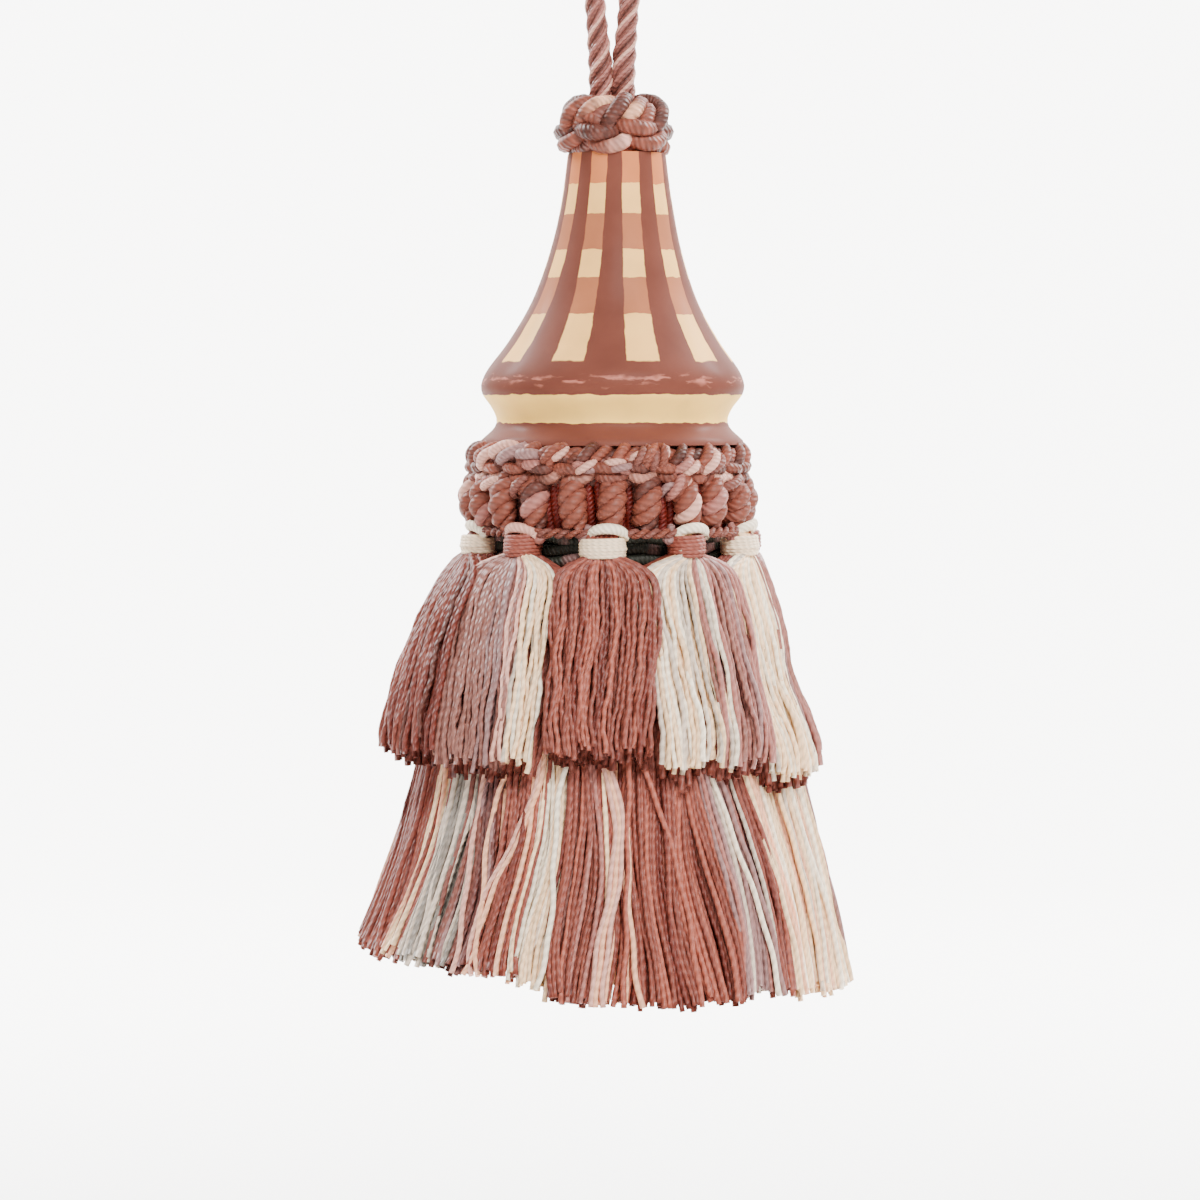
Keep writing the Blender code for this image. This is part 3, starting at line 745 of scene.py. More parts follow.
def pale_in_heading(angle, side):
    """Pale all round but at the front, where only the plait's lower crests are pale."""
    beside_front = np.clip((np.abs((angle + 180 + 2) % 360 - 180) - 22) / 4, 0, 1)
    below = 0.3 * np.clip(0.5 - 3 * side, 0, 1)
    patches = np.clip(0.6 + wander(angle, 24, 3.0, waves=(5, 7, 11)), 0, 1)
    return np.maximum(beside_front * patches, below * (1 - beside_front))


plait_parts = plait_ring(
    radius=plait_outside - PLAIT_CORD / 2 - 0.3,
    drop=-(PLAIT_HIGH[2] + PLAIT_LOW[2]) / 2 - PLAIT_RAISE,
    repeats=9,
    across=plait_height / 2 - PLAIT_CORD / 2 + 0.6,
    depth=0.85,
    cord=PLAIT_CORD,
    tones=(
        ("gimp rust", "gimp brown", "pale pink"),
        ("gimp brown", "gimp rust", "pale pink"),
        ("gimp rust", "rose", "rose"),
    ),
    seed=21,
    steps=460,
    dome=0.7,
    pale_at=pale_in_heading,
)
add_piece("heading_plait", aside(plait_parts, HEADING_ASIDE), gimp_rayon, ["gimp_plait"])

# %% Roll the heading's upright loops
LOOPS_LOW, LOOPS_HIGH = box_mm("gimp_loops")
LOOP_COUNT = 22
LOOP_CORD = 4.1
LOOP_TURNS = 1.35
PALE_LOOPS = {number: "pale pink" for number in (2, 12, 17)} | {3: "mauve", 18: "mauve", 20: "mauve", 8: "peach"}
LOOP_STEPS = 30
LOOP_RISE = 0.9  # how far the loops' ends run up under the plait, and above the solid's foot
loops_outside = (LOOPS_HIGH[0] - LOOPS_LOW[0]) / 2
loop_rng = np.random.default_rng(31)
loop_parts = []
for number in range(LOOP_COUNT):
    angle = 360 * number / LOOP_COUNT + 0.6 + loop_rng.uniform(-1.0, 1.0)
    lean = loop_rng.uniform(-3.0, 3.0)
    share = np.linspace(0, 1, LOOP_STEPS)
    drop = -LOOPS_HIGH[2] - LOOP_RISE - 0.6 + (LOOPS_HIGH[2] - LOOPS_LOW[2] + 0.7) * share
    bulge = np.sin(np.pi * (0.1 + 0.74 * share))
    out = loops_outside - LOOP_CORD / 2 + 0.3 + loop_rng.uniform(-0.3, 0.3) - 2.4 * (1 - bulge)
    path = place(out, angle + lean * (share - 0.5), drop)
    sideways = np.broadcast_to(place(1.0, angle + 90, 0.0), path.shape)
    ply_radius = three_ply_radius(LOOP_CORD)
    strands = twist(path, sideways, LOOP_CORD / 2 - ply_radius, 3, -LOOP_TURNS, start=loop_rng.uniform(0, 1))
    tones = ["gimp rust", "gimp brown" if loop_rng.uniform() < 0.4 else "gimp rust"]
    tones.append(PALE_LOOPS.get(number, "gimp rust"))
    taper = ply_radius * (0.85 + 0.3 * np.sin(np.pi * share))
    loop_parts.append(sweep_yarns(strands, taper, sideways, dyes(tones), sides=8))
add_piece("heading_loops", aside(loop_parts, HEADING_ASIDE), gimp_rayon, ["gimp_loops"])

# %% [markdown]
# Between the loops the heading's ground shows: upright strands in their shadow, dyed a dark red that is
# partly the ground's own colour and partly painted shade, and dark turns behind the necks, dyed as painted
# shadow. A flat tube would look like card there. Knots of the pale cord stand out of the plait, partly the
# cord's own colour and partly painted highlights, and a string under the loops holds the small tassels.
# They are short twisted cords, laid where the photograph has them.

# %% Fill the heading's ground behind the loops and the necks
GROUND_DEPTH = 2.7  # how far behind the loops' fronts the ground lies
GROUND_STRANDS = 88
SHADOW_TURNS = 4
SHADOW_RADIUS = 17.4  # these turns lie behind the necks
ground_rng = np.random.default_rng(35)
angle = np.arange(GROUND_STRANDS)[:, None] * 360 / GROUND_STRANDS
angle = angle + ground_rng.normal(0, 0.6, angle.shape)
share = np.linspace(0, 1, 8)[None]
out = loops_outside - GROUND_DEPTH - 0.9 + ground_rng.uniform(-0.3, 0.3, angle.shape) - 0.8 * share**3
drop = -PLAIT_HIGH[2] + 2.5 + (-LOOPS_LOW[2] + PLAIT_HIGH[2] - 2.5) * share
ground = place(out, angle + 2.5 * (share - 0.5), drop)
# the ground's dark red is partly its own colour and partly painted shade between the loops
ground_dyes = np.where(ground_rng.uniform(size=angle.shape) < 0.3, DYE["gimp brown"], DYE["shaded_ground_red"])
ground_parts = [sweep_yarns(ground, 0.85, straight_out(ground), ground_dyes, sides=6)]
angle = np.linspace(0, 360, 145)
for turn in range(SHADOW_TURNS):
    ring = place(SHADOW_RADIUS, angle, -LOOPS_LOW[2] - 0.2 + 1.55 * turn + wander(angle, turn, 0.4, (9, 14)))
    patches = np.clip(wander(angle, 43 + turn, 3.0, waves=(11, 17, 23)) - 0.9, 0, 1)[:, None]
    # painted shadow: the turns behind the necks are dyed dark, with a few lilac patches
    ring_dyes = DYE["shadow"] * (1 - patches) + DYE["lilac"] * patches
    ground_parts.append(sweep_yarns(ring[None], 0.98, straight_out(ring)[None], ring_dyes[None], sides=6))
add_piece("heading_ground", aside(ground_parts, HEADING_ASIDE), gimp_rayon, ["gimp_loops"])

# %% Pull the pale cord out into knots, and carry a string round under the loops
Knot = namedtuple("Knot", "angle drop tilt length thickness tones")
# the pale knots are partly the gimp's own pale cord and partly painted highlights on the plait
PALE_TONES = ("pale pink", "mauve", "lilac")
MIXED_TONES = ("pale pink", "gimp rust", "rose")
KNOTS = (
    Knot(-62, 106.6, 15, 4.6, 3.4, MIXED_TONES),
    Knot(-48, 105.8, 5, 5.2, 3.6, PALE_TONES),
    Knot(-34, 106.6, -20, 3.6, 3.4, PALE_TONES),
    Knot(-55, 110.4, 0, 5.4, 2.6, PALE_TONES),
    Knot(-38, 110.6, 25, 3.4, 2.7, MIXED_TONES),
    Knot(-24, 105.9, 20, 2.8, 2.6, MIXED_TONES),
    Knot(-9.5, 107.7, 8, 2.8, 2.2, PALE_TONES),
    Knot(4, 107.6, -10, 3.0, 2.2, PALE_TONES),
    Knot(13, 106.2, 40, 2.4, 2.2, MIXED_TONES),
    Knot(21, 106.5, 60, 2.8, 2.6, MIXED_TONES),
    Knot(33, 107.8, 10, 3.4, 2.6, PALE_TONES),
    Knot(29, 110.5, 35, 3.6, 2.8, PALE_TONES),
    Knot(47, 107.3, 20, 4.4, 3.0, MIXED_TONES),
    Knot(62, 110.2, 0, 4.6, 2.8, MIXED_TONES),
    Knot(118, 107.0, 10, 4.4, 3.0, PALE_TONES),
    Knot(165, 110.3, 20, 4.0, 2.8, MIXED_TONES),
    Knot(205, 106.8, -15, 4.2, 3.0, PALE_TONES),
    Knot(247, 110.4, 0, 4.8, 2.8, MIXED_TONES),
)
KNOT_STEPS = 16
knot_parts = []
for knot in KNOTS:
    share = np.linspace(-1, 1, KNOT_STEPS)
    along = knot.length * 0.6 * share
    sunk = knot.thickness * 0.75 * share**4
    out = plait_outside - knot.thickness / 2 + 0.9 - sunk
    turned = np.degrees(along * math.cos(math.radians(knot.tilt)) / plait_outside)
    path = place(out, knot.angle + turned, knot.drop - along * math.sin(math.radians(knot.tilt)))
    ply_radius = three_ply_radius(knot.thickness)
    strands = twist(path, straight_out(path), knot.thickness / 2 - ply_radius, 3, 0.8, start=knot.angle / 50)
    taper = ply_radius * (1.12 - 0.3 * share**2)
    knot_parts.append(sweep_yarns(strands, taper, straight_out(strands), dyes(knot.tones), sides=8))
add_piece("heading_knots", aside(knot_parts, HEADING_ASIDE), gimp_rayon, ["gimp_plait"])

NECK_STRING_RADIUS = 20.6
STRING_THICKNESS = 1.5
string_drop = -LOOPS_LOW[2] + 0.4
string_angle = np.linspace(0, 360, 481)
string_path = place(NECK_STRING_RADIUS + wander(string_angle, 41, 0.3), string_angle, string_drop)
string_strands = twist(string_path, straight_out(string_path), STRING_THICKNESS / 4, 2, 40)
string_out = straight_out(string_strands)
string_tones = dyes(("gimp rust", "rose"))
string_yarns = sweep_yarns(string_strands, STRING_THICKNESS / 3.6, string_out, string_tones, sides=6)
add_piece("neck_string", [string_yarns], gimp_rayon, ["gimp_loops"])

# %% [markdown]
# ## The small tassels
#
# Each small tassel is a skein of yarn folded in half, tied under the fold and cut. The yarns leave the neck
# side by side, fan out at once over the ones inside them and hang. So each yarn starts at its place in the
# neck's oval, spreads to its place in the tassel's share of the tier within the first centimetre, and falls
# to the hem. Neighbouring yarns cling together in locks, and each one wanders a little by itself.

# %% Places of the small tassels
SmallTassel = namedtuple("SmallTassel", "angle hem radius lean half left right seam binding")
SMALL_TASSELS = (
    SmallTassel(-4, 148.0, 33.0, 0.0, 15.6, "rust", "rust", 0.0, "cream"),
    SmallTassel(32, 150.4, 32.2, -2.0, 18.2, "cream", "mauve", 0.1, "rust"),
    SmallTassel(68, 152.6, 31.9, -1.5, 18.5, "cream", "mauve", 0.3, "cream"),
    SmallTassel(104, 151.0, 31.7, 0.0, 17.0, "mauve", "cream", 0.0, "rust"),
    SmallTassel(140, 150.4, 32.0, 1.0, 17.0, "rust", "rust", 0.0, "cream"),
    SmallTassel(176, 149.6, 32.6, 0.0, 16.5, "cream", "mauve", 0.0, "rust"),
    SmallTassel(212, 150.6, 33.4, -1.0, 17.0, "rust", "peach", 0.2, "cream"),
    SmallTassel(248, 150.4, 34.4, 0.0, 17.0, "mauve", "cream", 0.0, "rust"),
    SmallTassel(284, 149.2, 35.1, 6.5, 19.5, "rust", "deep rust", -0.1, "cream"),
    SmallTassel(320, 149.8, 34.2, 4.0, 17.0, "dull mauve", "cream", 0.52, "rust"),
)
NECK_CENTRE = 20.3
NECK_ACROSS = 2.6
NECK_THROUGH = 2.0
BINDING_LOW, BINDING_HIGH = box_mm("binding_01")
NECK_FOOT = -BINDING_LOW[2] - 0.3
YARN_RADIUS = 0.4

# %% Fan out and hang the small tassels' yarns
ROLL_FOOT = 121.2
LOWER_HEM = 183.0
LOWER_SPREAD = 21.2
LOWER_EASE = 0.75
LOWER_SWAY = 1.35
LOWER_TOP_RADIUS = 16.0


def lower_skirt_radius(angle, drop):
    """The outer shape of the lower skirt."""
    share = np.maximum(0.0, (drop - ROLL_FOOT) / (LOWER_HEM - ROLL_FOOT))
    sway = LOWER_SWAY * np.sin(np.radians(angle)) * np.minimum(1.0, share / 0.5)
    return LOWER_TOP_RADIUS + LOWER_SPREAD * share**LOWER_EASE - sway


def tone(rng, colours, spread):
    """Each yarn's colour, made a little lighter or darker than its dye."""
    return colours * rng.uniform(1 - spread, 1 + spread, len(colours))[:, None]


def yarn_waver(rng, count, share, size):
    """How far each yarn wanders by itself along its length, as (yarn, step)."""
    waver = 0
    for wave in (1.5, 3.2, 8.5):
        phase = rng.uniform(0, 2 * np.pi, (count, 1))
        height = rng.uniform(0.3, 1.0, (count, 1)) / wave**0.65
        waver = waver + np.sin(2 * np.pi * wave * share + phase) * height
    return size * waver * np.minimum(1, 4 * share)


TASSEL_COLUMNS = 30
TASSEL_ROWS = 5
FINE_ROWS = 2  # the rows that show are made with more steps than those behind
TASSEL_STEPS = 34
INNER_STEPS = 15
TASSEL_EASE = 0.8
SHOULDER_SPREAD = 0.75  # how much wider in angle a tassel is at its shoulder, where the tier is narrower
FAN_LENGTH = 1.35  # the yarns fan out over about this far below the neck
TASSEL_LOCKS = 7
LOCK_PULL = 0.2  # how far a yarn is drawn to its lock at the hem
# the rust ends of the rows behind, below the hem, are partly the tassels' own rust and partly painted shade
# under the tier
LINING_DROP = 1.7  # the rows behind hang lower, and nearly all are rust
LINING_AND_SHADE_SHARE = 0.97
TUCK = 1.4  # the hem turns in
HOLLOW = 1.4  # the tassels on the right hang hollow a little below their middle
HOLLOW_SHARE = 0.62


def tassel_yarns(rng, tassel):
    """The paths of one small tassel's cut yarns, with each one's place across and its row."""
    column, row = np.meshgrid(np.arange(TASSEL_COLUMNS), np.arange(TASSEL_ROWS))
    column, row = column.ravel(), row.ravel()
    count = len(column)
    sideways = (column + 0.5 + 0.5 * (row % 2) + rng.uniform(-0.4, 0.4, count)) / (TASSEL_COLUMNS + 0.5)
    sideways = sideways * 2 - 1
    depth = np.clip((row + rng.uniform(-0.3, 0.3, count)) / (TASSEL_ROWS - 1), 0, 1)
    share = np.linspace(0, 1, TASSEL_STEPS)[None] ** 1.2

    hem = tassel.hem + rng.normal(0, 0.5, count) + 0.5 * np.sin(7 * sideways) + LINING_DROP * (row > 1)
    start = NECK_FOOT - 1.6
    drop = start + (hem[:, None] - start) * share
    below = np.maximum(0, drop - NECK_FOOT + 0.4)
    fan = 1 - np.exp(-below / FAN_LENGTH)

    ease = TASSEL_EASE + 0.15 * math.sin(math.radians(tassel.angle))
    crown = 1 - 0.06 * sideways[:, None] ** 2
    outer_start = NECK_CENTRE + 0.8 * NECK_THROUGH
    outer = outer_start + (tassel.radius + 1.0 - outer_start) * (below / below[:, -1:]) ** ease * crown

    locks = np.sort(rng.uniform(-1, 1, TASSEL_LOCKS))
    nearest = locks[np.abs(sideways[:, None] - locks).argmin(axis=1)]
    at_hem = sideways[:, None] + (nearest - sideways)[:, None] * LOCK_PULL * share**1.2
    at_neck = sideways * np.sqrt(1 - (0.6 * (1 - 2 * depth)) ** 2)
    near_angle = np.degrees(0.86 * NECK_ACROSS / NECK_CENTRE)
    half_angle = tassel.half * (1 + SHOULDER_SPREAD * (tassel.radius / outer - 1))
    angle = tassel.angle + at_neck[:, None] * near_angle * (1 - fan) + at_hem * half_angle * fan
    angle = angle + tassel.lean * fan * share + 1.3 * np.sin(5 * share + locks[0] * 3) * fan
    angle = angle + yarn_waver(rng, count, share, 0.85) * fan

    inner = np.maximum(NECK_CENTRE - 0.8 * NECK_THROUGH, lower_skirt_radius(angle, drop) + 0.9)
    inner = np.minimum(inner, outer - 1.2)
    radius = outer + (inner - outer) * depth[:, None]
    tuck = TUCK * share**9 + rng.normal(0, 0.3, count)[:, None] * share**3
    radius = radius + yarn_waver(rng, count, share, 0.3) * fan - tuck
    hollow = HOLLOW * max(0.0, math.sin(math.radians(tassel.angle))) * (1 - 0.5 * depth[:, None])
    radius = radius - hollow * np.exp(-(((share - HOLLOW_SHARE) / 0.22) ** 2))
    return place(radius, angle, drop), sideways, row


def tassel_colours(rng, tassel, sideways, row):
    """Each yarn's colour: the tassel's left or right dye, or the rust of the rows behind, which is partly
    painted shade under the tier.
    """
    count = len(row)
    seam = sideways[:, None] + rng.normal(0, 0.1, (count, 1))
    left, right = skein_dyes(rng, tassel.left, count), skein_dyes(rng, tassel.right, count)
    colours = np.where(seam < tassel.seam, left, right)
    # rust rows behind: partly the tassels' own rust, partly painted shade under the tier
    lining_and_shade = (row > 1)[:, None] & (rng.uniform(size=(count, 1)) < LINING_AND_SHADE_SHARE)
    return tone(rng, np.where(lining_and_shade, DYE["rust"], colours), 0.14)


def tassel_parts(number, tassel):
    """The fine yarns that show of one small tassel, and the plainer ones behind them."""
    rng = np.random.default_rng(100 + number)
    paths, sideways, row = tassel_yarns(rng, tassel)
    colours = tassel_colours(rng, tassel, sideways, row)
    count = len(row)
    thickness = YARN_RADIUS * rng.uniform(0.8, 1.1, count)[:, None]
    fine = row < FINE_ROWS
    plain_steps = np.linspace(0, TASSEL_STEPS - 1, INNER_STEPS).round().astype(int)
    plain = paths[~fine][:, plain_steps]
    return [
        sweep_yarns(paths[fine], thickness[fine], straight_out(paths[fine]), colours[fine], sides=5),
        sweep_yarns(plain, thickness[~fine] * 1.3, straight_out(plain), colours[~fine], sides=4),
    ]


for number, tassel in enumerate(SMALL_TASSELS, start=1):
    add_piece(
        f"tied_tassel_{number:02d}",
        tassel_parts(number, tassel),
        skirt_rayon,
        [f"small_tassel_{number:02d}"],
    )

# %% [markdown]
# ## The bindings
#
# A bright thread is wound round each neck, turn beside turn, and its end is hidden under the last turns. One
# long helix round the neck's oval makes the turns, and they swell a little in the middle.

# %% Wind the bindings
BINDING_TURNS = 6
BINDING_STEPS = 24
THREAD_RADIUS = 0.34


def binding_thread(number, tassel):
    rng = np.random.default_rng(300 + number)
    turn = np.linspace(0, BINDING_TURNS, BINDING_TURNS * BINDING_STEPS + 1)
    share = turn / BINDING_TURNS
    swell = 0.35 + 0.25 * np.sin(np.pi * share) + 0.06 * np.sin(2 * np.pi * turn * 0.61 + rng.uniform(0, 6))
    narrow = tassel.binding == "rust"
    top, foot = -BINDING_HIGH[2] - 0.4, -BINDING_LOW[2] - 0.6
    top = top - 0.4 * narrow
    along = np.cos(2 * np.pi * turn) * (NECK_ACROSS * (0.75 if narrow else 1.0) + swell)
    out = np.sin(2 * np.pi * turn) * (NECK_THROUGH + swell)
    centre = place(NECK_CENTRE, tassel.angle, top + (foot - top) * share)
    path = centre + along[:, None] * place(1.0, tassel.angle + 90, 0.0)
    path = path + out[:, None] * place(1.0, tassel.angle, 0.0)
    from_neck = unit((path - centre) * (1, 1, 0))
    dye = (DYE["bright cream"] + DYE["cream"]) / 2 if tassel.binding == "cream" else DYE["rust"] * 1.15
    return sweep_yarns(path[None], THREAD_RADIUS, from_neck[None], dye[None], sides=8)


for number, tassel in enumerate(SMALL_TASSELS, start=1):
    add_piece(
        f"binding_thread_{number:02d}",
        [binding_thread(number, tassel)],
        cord_rayon,
        [f"binding_{number:02d}"],
    )

# %% [markdown]
# ## The fold of each small tassel
#
# Above its binding the skein folds over the cord that hangs it from the heading. Seven yarns arch over from
# the back of the neck to its front, and a pale loop of gimp shows above them.

# %% Fold the yarn over the top of each neck
FOLD_ACROSS = 7
FOLD_STEPS = 12
fold_parts = []
hanger_parts = []
for number, tassel in enumerate(SMALL_TASSELS, start=1):
    rng = np.random.default_rng(400 + number)
    fold_top = -LOOPS_LOW[2] + 0.1
    fold_foot = -BINDING_HIGH[2] + 0.5
    sideways = np.linspace(-0.7, 0.7, FOLD_ACROSS)
    arch = np.linspace(-1.1, 1.1, FOLD_STEPS)[None]
    reach = 0.8 * NECK_THROUGH * np.sqrt(1 - 0.7 * sideways[:, None] ** 2)
    out = NECK_CENTRE + reach * np.sin(arch * np.pi / 2.2)
    drop = fold_foot - (fold_foot - fold_top - 0.4) * np.cos(arch * np.pi / 2.4)
    angle = tassel.angle + np.degrees(sideways[:, None] * NECK_ACROSS / NECK_CENTRE) * np.ones_like(arch)
    paths = place(out, angle, drop)
    sideways_way = np.broadcast_to(place(1.0, tassel.angle + 90, 0.0), paths.shape)
    colours = np.where(sideways[:, None] < 0.05, DYE[tassel.left], DYE[tassel.right])
    fold_parts.append(sweep_yarns(paths, 0.42, sideways_way, tone(rng, colours, 0.1), sides=6))

    turn = np.linspace(-0.35, np.pi + 0.35, 18)
    hoop = place(
        NECK_CENTRE + 0.4 + 1.3 * np.sin(turn) ** 2,
        tassel.angle + rng.uniform(-2, 3) + np.degrees(2.3 * np.cos(turn) / NECK_CENTRE),
        fold_top + 0.6 - 1.1 * np.sin(turn),
    )
    hanger_dye = DYE["bright cream"] if rng.uniform() < 0.6 else DYE["pale pink"]
    hanger_parts.append(sweep_yarns(hoop[None], 0.78, straight_out(hoop)[None], hanger_dye[None], sides=8))
    share = np.linspace(0, 1, 14)
    beside = rng.uniform(7, 9) * (1 if rng.uniform() < 0.7 else -1)
    slack = place(
        NECK_CENTRE - 0.6 + 0.9 * np.sin(np.pi * share),
        tassel.angle + beside + (beside / 2.4) * (share - 0.5),
        fold_top - 0.8 + 2.2 * np.sin(np.pi * share * 0.8),
    )
    slack_dye = DYE[rng.choice(["pale pink", "mauve", "lilac", "bright cream"])]
    hanger_parts.append(sweep_yarns(slack[None], 0.6, straight_out(slack)[None], slack_dye[None], sides=8))
add_piece("tassel_folds", fold_parts, skirt_rayon)
add_piece("tassel_hangers", hanger_parts, gimp_rayon)

# %% [markdown]
# ## The roll and the lower skirt
#
# The lower skirt is a long fringe, rolled up by its heading until it fills the tassel, so its yarns hang from
# the whole of the roll and fill the hem right through. The yarns near the outside are made finely, one by
# one, in the colours that the fringe was woven in. Those further in show only from below, so they are fewer
# and plainer. Locks of yarn wave together, which gives the skirt its soft vertical folds.

# %% Colours of the lower skirt
ColourBand = namedtuple("ColourBand", "start main accent share")
LOWER_COLOURS = (
    ColourBand(-100, "rust", "deep rust", 0.25),
    ColourBand(-62, "peach", "rust", 0.3),
    ColourBand(-57, "oat", "grey cream", 0.25),
    ColourBand(-42, "grey mauve", "rose", 0.2),
    ColourBand(-32, "rust", "peach", 0.2),
    ColourBand(-21, "cream", "bright cream", 0.3),
    ColourBand(-14, "rust", "mauve", 0.25),
    ColourBand(-3, "peach", "rust", 0.4),
    ColourBand(1, "rust", "light rust", 0.1),
    ColourBand(29, "lilac", "grey cream", 0.15),
    ColourBand(41, "deep rust", "rust", 0.4),
    ColourBand(45, "peach", "rust", 0.3),
    ColourBand(50, "cream", "peach", 0.12),
    ColourBand(92, "dull mauve", "lilac", 0.4),
    ColourBand(112, "rust", "deep rust", 0.2),
    ColourBand(150, "cream", "peach", 0.25),
    ColourBand(172, "peach", "rust", 0.4),
    ColourBand(180, "rust", "deep rust", 0.2),
    ColourBand(214, "lilac", "mauve", 0.4),
    ColourBand(232, "cream", "oat", 0.3),
    ColourBand(252, "peach", "deep rust", 0.4),
)


def lower_dyes(rng, angle):
    """Each yarn's dye, from the band that its angle falls in, with soft edges between bands."""
    first = LOWER_COLOURS[0].start
    shifted = (angle + rng.normal(0, 0.9, len(angle)) - first) % 360 + first
    band = np.searchsorted([row.start for row in LOWER_COLOURS], shifted, side="right") - 1
    mains = np.array([skein_dyes(rng, row.main, len(angle)) for row in LOWER_COLOURS])
    accent = np.array([DYE[row.accent] for row in LOWER_COLOURS])[band]
    share = np.array([row.share for row in LOWER_COLOURS])[band]
    main = mains[band, np.arange(len(angle))]
    return np.where((rng.uniform(size=len(angle)) < share)[:, None], accent, main)


LEFT_HOLLOW = 1.6


def left_side_shape(angle, share):
    """The left side hangs hollow above its hem."""
    on_left = np.maximum(0, -np.sin(np.radians(angle)))
    return -LEFT_HOLLOW * on_left * np.sin(0.93 * np.pi * share**2.4)


# %% Hang the lower skirt's yarns
SkirtLayer = namedtuple("SkirtLayer", "count inset root radius steps sides")
OUTER_LAYERS = (
    SkirtLayer(335, 0.4, 15.2, 0.39, 34, 5),
    SkirtLayer(310, 1.0, 14.7, 0.41, 24, 5),
    SkirtLayer(260, 1.8, 14.0, 0.48, 20, 5),
    SkirtLayer(220, 2.9, 13.2, 0.56, 15, 4),
)
INNER_LAYERS = (
    SkirtLayer(120, 6.0, 11.5, 0.85, 9, 5),
    SkirtLayer(100, 9.0, 10.0, 0.95, 9, 5),
    SkirtLayer(80, 12.5, 8.5, 1.05, 8, 5),
    SkirtLayer(64, 16.5, 7.0, 1.15, 8, 5),
    SkirtLayer(48, 21.0, 5.0, 1.2, 8, 5),
    SkirtLayer(32, 26.0, 3.4, 1.25, 8, 5),
    SkirtLayer(16, 31.0, 1.8, 1.3, 8, 5),
)
HemPoint = namedtuple("HemPoint", "angle drop")
HEM_LINE = (  # the hem hangs lower in front and on the right than on the left
    HemPoint(-180, 182.0),
    HemPoint(-90, 178.9),
    HemPoint(-30, 179.5),
    HemPoint(-18, 180.4),
    HemPoint(-12, 183.0),
    HemPoint(-4, 183.2),
    HemPoint(8, 183.4),
    HemPoint(20, 183.6),
    HemPoint(34, 182.8),
    HemPoint(58, 184.0),
    HemPoint(90, 185.4),
    HemPoint(180, 182.0),
)
LEAN_MIDDLE = 38.0  # here, right of the front, the yarns lean outwards as they fall
LEAN_SPREAD = 24.0
LEAN = 10.0
WAVE = 2.4  # degrees that the locks wave to each side, and how often on their way down
WAVES_DOWN = 1.4
LOCK_COUNT = 40
lock_rng = np.random.default_rng(50)
lock_angles = np.sort((np.arange(LOCK_COUNT) + lock_rng.uniform(-0.35, 0.35, LOCK_COUNT)) * 360 / LOCK_COUNT)
lock_lean = lock_rng.normal(0, 1.0, LOCK_COUNT)
lock_out = lock_rng.normal(0, 0.55, LOCK_COUNT)
lock_phase = lock_rng.uniform(0, 2 * np.pi, LOCK_COUNT)
lock_drop = lock_rng.normal(0, 0.5, LOCK_COUNT)


def skirt_layer_yarns(layer, seed):
    """The yarns of one layer of the lower skirt."""
    rng = np.random.default_rng(seed)
    angle = (np.arange(layer.count) + rng.uniform(-0.45, 0.45, layer.count)) * 360 / layer.count
    angle = (angle + 180) % 360 - 180
    apart = (angle[:, None] - lock_angles[None] - 4 * (seed % 2) + 180) % 360 - 180
    lock = np.abs(apart).argmin(axis=1)
    to_lock = -apart[np.arange(layer.count), lock]
    share = np.linspace(0, 1, layer.steps)[None]
    hem = np.interp(angle, [point.angle for point in HEM_LINE], [point.drop for point in HEM_LINE])
    hem = hem + 0.6 * lock_drop[lock] + rng.normal(0, 0.5, layer.count)
    start = ROLL_FOOT - 1.5
    drop = start + (hem[:, None] - start) * share

    cling = 0.2 * share**1.3
    lean = 0.8 * lock_lean[lock][:, None] * np.sin(np.pi * share)
    lean = lean + LEAN * np.exp(-(((angle - LEAN_MIDDLE) / LEAN_SPREAD) ** 2))[:, None] * (share - 0.8)
    phase = wander(angle, 52, 2.6)[:, None] + 0.4 * lock_phase[lock][:, None]
    waves = WAVE * np.sin(2 * np.pi * WAVES_DOWN * share + phase) * share
    turned = angle[:, None] + to_lock[:, None] * cling + lean + waves
    turned = turned + yarn_waver(rng, layer.count, share, 0.6)

    spread = share**LOWER_EASE
    hem_radius = lower_skirt_radius(angle, LOWER_HEM) - layer.inset
    radius = layer.root + (hem_radius[:, None] - layer.root) * spread + left_side_shape(angle[:, None], share)
    radius = radius + lock_out[lock][:, None] * np.sin(np.pi * 0.75 * share) * 0.7
    radius = radius + yarn_waver(rng, layer.count, share, 0.3)
    radius = np.maximum(radius, 0.4)
    paths = place(radius, turned, drop)
    shade = tone(rng, lower_dyes(rng, angle), 0.15)
    thickness = layer.radius * rng.uniform(0.85, 1.1, (layer.count, 1)) * np.ones_like(drop)
    return sweep_yarns(paths, thickness, straight_out(paths), shade, sides=layer.sides)


outer_yarns = [skirt_layer_yarns(layer, 60 + number) for number, layer in enumerate(OUTER_LAYERS)]
inner_yarns = [skirt_layer_yarns(layer, 80 + number) for number, layer in enumerate(INNER_LAYERS)]
add_piece("skirt_outer_yarns", outer_yarns[:1], skirt_rayon, ["lower_skirt"])
add_piece("skirt_second_yarns", outer_yarns[1:2], skirt_rayon, ["lower_skirt"])
add_piece("skirt_middle_yarns", outer_yarns[2:], skirt_rayon, ["lower_skirt"])
add_piece("skirt_inner_yarns", inner_yarns, skirt_rayon, ["lower_skirt"])

